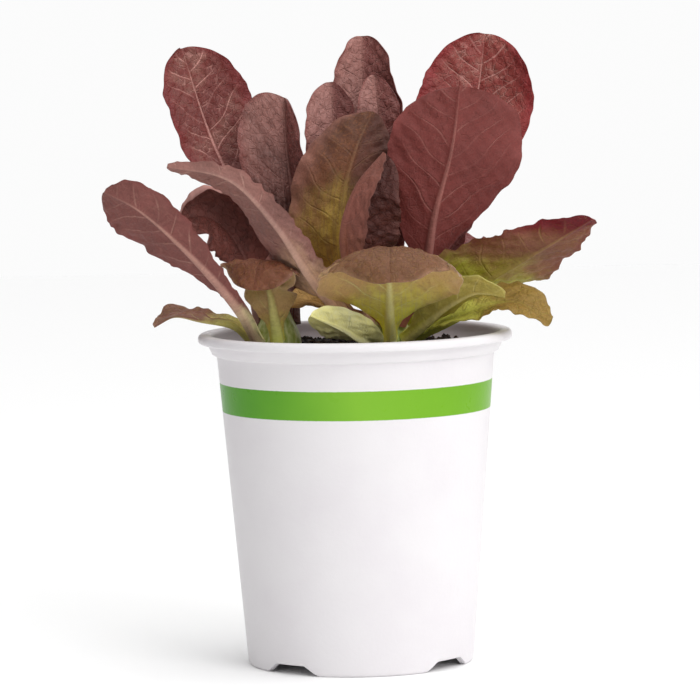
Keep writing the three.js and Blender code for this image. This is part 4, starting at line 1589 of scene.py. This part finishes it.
@dataclass
class Lettuce:
    """The two seedlings: their stems and every leaf on them."""

    left: Stem = field(default_factory=lambda: Stem("left", -26.0, -2.0))
    right: Stem = field(default_factory=lambda: Stem("right", 12.0, 2.0))
    flesh: StemFinish = field(default_factory=StemFinish)

    def left_leaves(self) -> list[Leaf]:
        """List the left seedling's leaves.

        Returns:
            The leaves, whose order sets each one's ruffles and pattern.
        """
        stem = self.left
        return [
            Leaf(
                "left_leaf_low_front", stem, azimuth=222, height=109,
                midrib=[(-38, -20, 121), (-54, -28, 140), (-70, -33, 155), (-80.6, -35, 161)],
                width=(8.5, 14), face=(0.25, 0.9, 0.35), blade=(0.22, 0.8), fold=(8, 8), curl=(18, 14),
                wave=(0.8, 4), tone=LeafTone.MAUVE, lobe=0.6, teeth=0.6,
            ),
            Leaf(
                "left_leaf_tall_back", stem, azimuth=100, height=114,
                midrib=[(-29, 11, 134), (-37, 17, 153), (-47.5, 25, 176), (-57, 33, 206)],
                width=(13, 18), face=(0.3, -0.9, 0.3), blade=(0.2, 0.74), fold=(6, 4), curl=(16, 20),
                wave=(0.8, 4), tone=LeafTone.DEEP_RED,
            ),
            Leaf(
                "left_leaf_folded", stem, azimuth=30, height=114,
                midrib=[(-20.5, 6, 131), (-20, 10, 153), (-22, 14, 172), (-22.5, 16, 189)],
                width=(16, 14), face=(-0.25, -0.95, 0.15), blade=(0.1, 0.64), fold=(14, 52), curl=(10, -10),
                wave=(0.7, 4), tone=LeafTone.DUSKY, skew=0.6, teeth=0.2,
            ),
            Leaf(
                "left_leaf_curled", stem, azimuth=152, height=114,
                midrib=[(-33, 3, 126), (-39, 4, 141), (-48, 2, 150), (-58, -3, 150)],
                width=(14, 20), face=(0.2, -0.75, 0.6), blade=(0.25, 0.66), fold=(5, 5), curl=(20, 160),
                wave=(1, 4), tone=LeafTone.DARK, teeth=1.3, pitch=4.2,
            ),
            Leaf(
                "left_leaf_short_front", stem, azimuth=272, height=109,
                midrib=[
                    (-27, -13, 120), (-28, -14.5, 130), (-29.5, -17.5, 136.5), (-31.5, -21.5, 135.5),
                    (-33.5, -24, 127),
                ],
                width=(15, 16), face=(0, -0.1, 1), blade=(0.05, 0.64), fold=(0, 0), curl=(-34, -22),
                wave=(0.5, 4), tone=LeafTone.BRONZE, lobe=0.4, teeth=0.4,
            ),
            Leaf(
                "left_leaf_spreading", stem, azimuth=175, height=109,
                midrib=[(-40, -6, 115), (-51, -9, 117), (-60, -10, 118.5), (-67, -10, 115)],
                width=(7, 7), face=(0.05, -0.1, 1), blade=(0.2, 0.62), fold=(12, 12), curl=(12, 12),
                wave=(0.8, 3), tone=LeafTone.OLIVE_MAUVE, lobe=0.6, teeth=0.6,
            ),
            Leaf(
                "left_leaf_rear", stem, azimuth=68, height=109,
                midrib=[(-20.5, 14, 122), (-20, 26, 135), (-22, 39, 143), (-26, 50, 143)],
                width=(12, 12), face=(0, -0.55, 0.85), blade=(0.2, 0.68), fold=(8, 8), curl=(20, 20),
                wave=(1.2, 5), tone=LeafTone.DEEP_RED, teeth=0.4,
            ),
            Leaf(
                "left_leaf_rear_tall", stem, azimuth=125, height=109,
                midrib=[(-34, 15, 126), (-36, 29, 148), (-37, 39, 168), (-38, 45, 183)],
                width=(12, 13), face=(0.1, -0.85, 0.5), blade=(0.12, 0.7), fold=(8, 8), curl=(20, 20),
                wave=(1.2, 5), tone=LeafTone.BROAD_RED, teeth=0.3,
            ),
        ]

    def right_leaves(self) -> list[Leaf]:
        """List the right seedling's leaves.

        Returns:
            The leaves, whose order sets each one's ruffles and pattern.
        """
        stem = self.right
        return [
            Leaf(
                "right_leaf_arching", stem, azimuth=205, height=114,
                midrib=[(-5, -16, 119.5), (-14, -23, 130), (-25, -28, 148), (-40, -32, 164), (-60, -35, 169)],
                width=(6.5, 13), face=(0.4, 0.8, 0.45), blade=(0.1, 0.36), fold=(35, 10), curl=(5, 14),
                wave=(0.5, 4), tone=LeafTone.PINK_MAUVE, tip=1.3, lobe=0.5, teeth=1.0, pitch=4.4,
            ),
            Leaf(
                "right_leaf_centre", stem, azimuth=215, height=119,
                midrib=[(-2, -6, 132), (-3, -10, 155), (1, -9, 171), (7, -4, 184)],
                width=(15.4, 19), face=(0.05, 0.97, 0.2), blade=(0.04, 0.5), fold=(6, 6), curl=(22, 22),
                wave=(0.8, 4), tone=LeafTone.OLIVE, skew=0.3,
            ),
            Leaf(
                "right_leaf_clasped", stem, azimuth=255, height=114,
                midrib=[(1, -17, 126), (-3, -22.5, 144), (2, -25, 160), (11, -24, 171)],
                width=(10, 19), face=(0.95, -0.25, 0.1), blade=(0, 0.53), fold=(52, 58), curl=(10, 10),
                wave=(0.6, 4), tone=LeafTone.COPPER, teeth=0.8,
            ),
            Leaf(
                "right_leaf_broad", stem, azimuth=300, height=114,
                midrib=[(22, -8, 126), (27, -13, 150), (33, -15, 172), (36, -11, 192)],
                width=(25.5, 21), face=(-0.1, 0.95, 0.25), blade=(0.14, 0.74), fold=(6, 6), curl=(16, 18),
                wave=(0.8, 4), tone=LeafTone.BROAD_RED, tip=2.9, skew=0.12, teeth=0.2,
            ),
            Leaf(
                "right_leaf_tall_back", stem, azimuth=35, height=114,
                midrib=[(26, 14, 133), (35, 22, 162), (43, 28, 188), (46, 30, 209)],
                width=(20, 21), face=(-0.1, -0.9, 0.3), blade=(0.15, 0.72), fold=(6, 6), curl=(18, 20),
                wave=(0.8, 4), tone=LeafTone.RUBY,
            ),
            Leaf(
                "right_leaf_top_back", stem, azimuth=80, height=114,
                midrib=[(11, 17, 137), (7, 23, 167), (4, 27, 191), (4, 29, 209)],
                width=(11, 15), face=(0.1, -0.97, 0.15), blade=(0.1, 0.72), fold=(6, 10), curl=(14, 60),
                wave=(0.8, 4), tone=LeafTone.GREY_PINK,
            ),
            Leaf(
                "right_leaf_top_middle", stem, azimuth=55, height=119,
                midrib=[(13.5, 9, 137), (10.5, 13, 167), (8, 15, 196)],
                width=(9, 9), face=(0, -0.97, 0.2), blade=(0.05, 0.62), fold=(6, 6), curl=(16, 16),
                wave=(0.7, 4), tone=LeafTone.GREY_PINK,
            ),
            Leaf(
                "right_leaf_top_left", stem, azimuth=140, height=119,
                midrib=[(2.5, 5, 137), (-5, 7, 168), (-7, 9, 194)],
                width=(10, 9), face=(0, -0.97, 0.2), blade=(0.25, 0.72), fold=(6, 6), curl=(16, 16),
                wave=(0.7, 4), tone=LeafTone.GREY_PINK,
            ),
            Leaf(
                "right_leaf_drooping", stem, azimuth=268, height=109,
                midrib=[
                    (11.5, -17, 118), (11.5, -27, 130), (11.5, -34, 139), (11.5, -41, 141.5),
                    (11.5, -47, 137.5), (11.5, -50, 130.5),
                ],
                width=(26, 26), face=(0, -0.1, 1), blade=(0.05, 0.56), fold=(0, 0), curl=(-44, -44),
                wave=(0.6, 5), tone=LeafTone.TAN_RED, lobe=0.5, teeth=0.5,
            ),
            Leaf(
                "right_leaf_side", stem, azimuth=345, height=114,
                midrib=[(36, -6, 122), (46, -11, 129), (61, -17, 138), (78.5, -21, 148.5)],
                width=(19, 18), face=(-0.3, 0.8, 0.5), blade=(0.08, 0.43), fold=(6, 10), curl=(16, 24),
                wave=(0.8, 4), tone=LeafTone.GREEN_RED, tip=0.8, skew=0.48, lobe=0.7, teeth=0.9, pitch=4.0,
            ),
            Leaf(
                "right_leaf_low_side", stem, azimuth=308, height=109,
                midrib=[(24.2, -12.2, 115), (32, -18.2, 121), (40, -23, 125), (49.5, -27, 124)],
                width=(5, 10), face=(-0.2, 0.7, 0.6), blade=(0.1, 0.46), fold=(8, 8), curl=(10, 10),
                wave=(0.5, 4), tone=LeafTone.TAN, tip=1.2, lobe=0.5, teeth=0.5,
            ),
            Leaf(
                "right_leaf_hanging", stem, azimuth=336, height=109,
                midrib=[(33, -14, 116), (44, -18, 120.5), (55, -22, 121), (64, -25, 114)],
                width=(9, 9), face=(0.2, -0.55, 0.8), blade=(0.05, 0.6), fold=(6, 6), curl=(14, 14),
                wave=(0.8, 4), tone=LeafTone.OCHRE, lobe=0.6, teeth=0.8, pitch=4.0,
            ),
            Leaf(
                "right_leaf_pale", stem, azimuth=235, height=109,
                midrib=[(1.5, -19, 110), (-4.5, -25, 114), (-14.5, -29, 119)],
                width=(8, 9), face=(0.3, 0.85, 0.4), blade=(0, 0.5), fold=(8, 8), curl=(16, 16),
                wave=(0.4, 3), tone=LeafTone.PALE_GREEN,
            ),
            Leaf(
                "right_leaf_small_left", stem, azimuth=175, height=109,
                midrib=[(-6, -4, 118), (-14, -8, 122), (-22, -11, 121)],
                width=(8, 8), face=(0.1, -0.5, 0.85), blade=(0, 0.5), fold=(10, 10), curl=(14, 14),
                wave=(0.6, 3), tone=LeafTone.RUST, teeth=0.4,
            ),
            Leaf(
                "right_leaf_rear", stem, azimuth=112, height=109,
                midrib=[(6, 20, 127), (2, 31, 144), (-2, 42, 153), (-6, 51, 152)],
                width=(14, 14), face=(0, -0.55, 0.85), blade=(0.2, 0.68), fold=(8, 8), curl=(22, 22),
                wave=(1.2, 5), tone=LeafTone.DEEP_RED, teeth=0.4,
            ),
            Leaf(
                "right_leaf_rear_side", stem, azimuth=60, height=109,
                midrib=[(24, 20, 122), (32, 32, 133), (39, 42, 138), (45, 50, 136)],
                width=(12, 12), face=(-0.2, -0.5, 0.85), blade=(0.2, 0.68), fold=(8, 8), curl=(20, 20),
                wave=(1.2, 5), tone=LeafTone.BROAD_RED, teeth=0.5,
            ),
            Leaf(
                "right_leaf_rear_tall", stem, azimuth=12, height=109,
                midrib=[(27, 13, 122), (31, 27, 142), (33, 38, 162), (34, 45, 177)],
                width=(12, 12), face=(-0.1, -0.85, 0.5), blade=(0.12, 0.7), fold=(8, 8), curl=(20, 20),
                wave=(1.2, 5), tone=LeafTone.MAUVE, teeth=0.3,
            ),
        ]

    def build(self) -> list[bpy.types.Object]:
        """Build both stems and every leaf.

        Returns:
            All of them.
        """
        material = self.flesh.material()
        made = [stem.build(material) for stem in (self.left, self.right)]
        for order, leaf in enumerate(self.left_leaves() + self.right_leaves()):
            leaf.order = order
            made.append(leaf.build())
        return made


@dataclass(frozen=True)
class Lamp:
    """One square soft light, with its place and its side in millimetres and its power in watts."""

    name: str
    at: Point
    power: float
    side: float = 500.0

    def build(self, aim: Vector) -> None:
        """Hang the lamp.

        Args:
            aim: The point that it looks at, in metres.
        """
        light = bpy.data.lights.new(self.name, "AREA")
        light.size = self.side * MM
        light.energy = self.power
        lamp = bpy.data.objects.new(self.name, light)
        lamp.location = Vector(self.at) * MM
        lamp.rotation_euler = (aim - lamp.location).to_track_quat("-Z", "Y").to_euler()
        bpy.context.scene.collection.objects.link(lamp)


@dataclass
class Studio:
    """Pale floor, soft light and the camera at the photograph's angle, in millimetres."""

    camera_at: Point = (-1.8, -1400.0, 223.0)
    aim: Point = (-1.8, 0.0, 104.6)
    roll: float = 1.1
    lens: float = 216.0
    sensor: float = 36.0
    floor_size: float = 4000.0
    floor_colour: Colour = (0.99, 0.99, 0.99)
    floor_shade: Colour = (0.9, 0.9, 0.9)
    floor_mottle: Pair = (6.0, 0.05)
    floor_roughness: float = 0.7
    sky: Colour = (1.0, 1.0, 1.0)
    sky_strength: float = 0.42
    sky_least: float = 0.05
    sky_lean: Point = (0.5, -0.02, 0.85)
    backdrop_strength: float = 0.97
    lamps: tuple[Lamp, ...] = (
        Lamp("key_light", (520, -760, 760), 3.4),
        Lamp("front_light", (350, -1200, 280), 0.6),
        Lamp("top_light", (100, -80, 900), 0.8),
    )

    def build(self) -> None:
        """Set up the whole studio."""
        self.floor()
        self.world()
        for lamp in self.lamps:
            lamp.build(Vector(self.aim) * MM)
        self.camera()

    def floor(self) -> None:
        """Lay the floor under the pot."""
        shape = bmesh.new()
        bmesh.ops.create_grid(shape, x_segments=2, y_segments=2, size=self.floor_size * MM / 2)
        board = Board.material("pale_floor")
        scale, strength = self.floor_mottle
        mottle = board.grain(board.place(), scale) * strength
        colour = board.mix(mottle, self.floor_colour, self.floor_shade)
        ground = Bench.placed(shape, "floor")
        ground.data.materials.append(board.surface(colour, self.floor_roughness))

    def world(self) -> None:
        """Surround the studio with white light that is brighter above and to the right."""
        board = Board(bpy.data.worlds.new("studio_sky"))
        axes = board.axes(board.node("ShaderNodeTexCoord", None, None, "Generated"))
        level = sum(axis * lean for axis, lean in zip(axes, self.sky_lean)) + self.sky_strength
        seen = board.node("ShaderNodeLightPath", None, None, "Is Camera Ray")
        sky, backdrop = (
            board.node("ShaderNodeBackground", None, {"Color": self.sky, "Strength": strength})
            for strength in (level.most(self.sky_least), self.backdrop_strength)
        )
        mixed = board.node("ShaderNodeMixShader", None, {0: seen, 1: sky, 2: backdrop})
        board.add("ShaderNodeOutputWorld", None, {"Surface": mixed})
        bpy.context.scene.world = board.owner
        bpy.context.scene.view_settings.view_transform = "Standard"

    def camera(self) -> None:
        """Place the camera."""
        optics = bpy.data.cameras.new("photo_camera")
        optics.lens = self.lens
        optics.sensor_width = self.sensor
        camera = bpy.data.objects.new("photo_camera", optics)
        camera.location = Vector(self.camera_at) * MM
        turn = (Vector(self.aim) - Vector(self.camera_at)).to_track_quat("-Z", "Y").to_matrix()
        camera.rotation_euler = (turn @ Matrix.Rotation(math.radians(-self.roll), 3, "Z")).to_euler()
        bpy.context.scene.collection.objects.link(camera)
        bpy.context.scene.camera = camera


def main() -> None:
    """Build the studio, the pot, the soil and the lettuce."""
    logging.basicConfig(level=logging.INFO, format="%(name)s %(message)s")
    Studio().build()
    pot = Pot()
    pot.build()
    Soil(pot).build()
    Lettuce().build()
    bpy.context.view_layer.update()


if __name__ == "__main__":
    main()
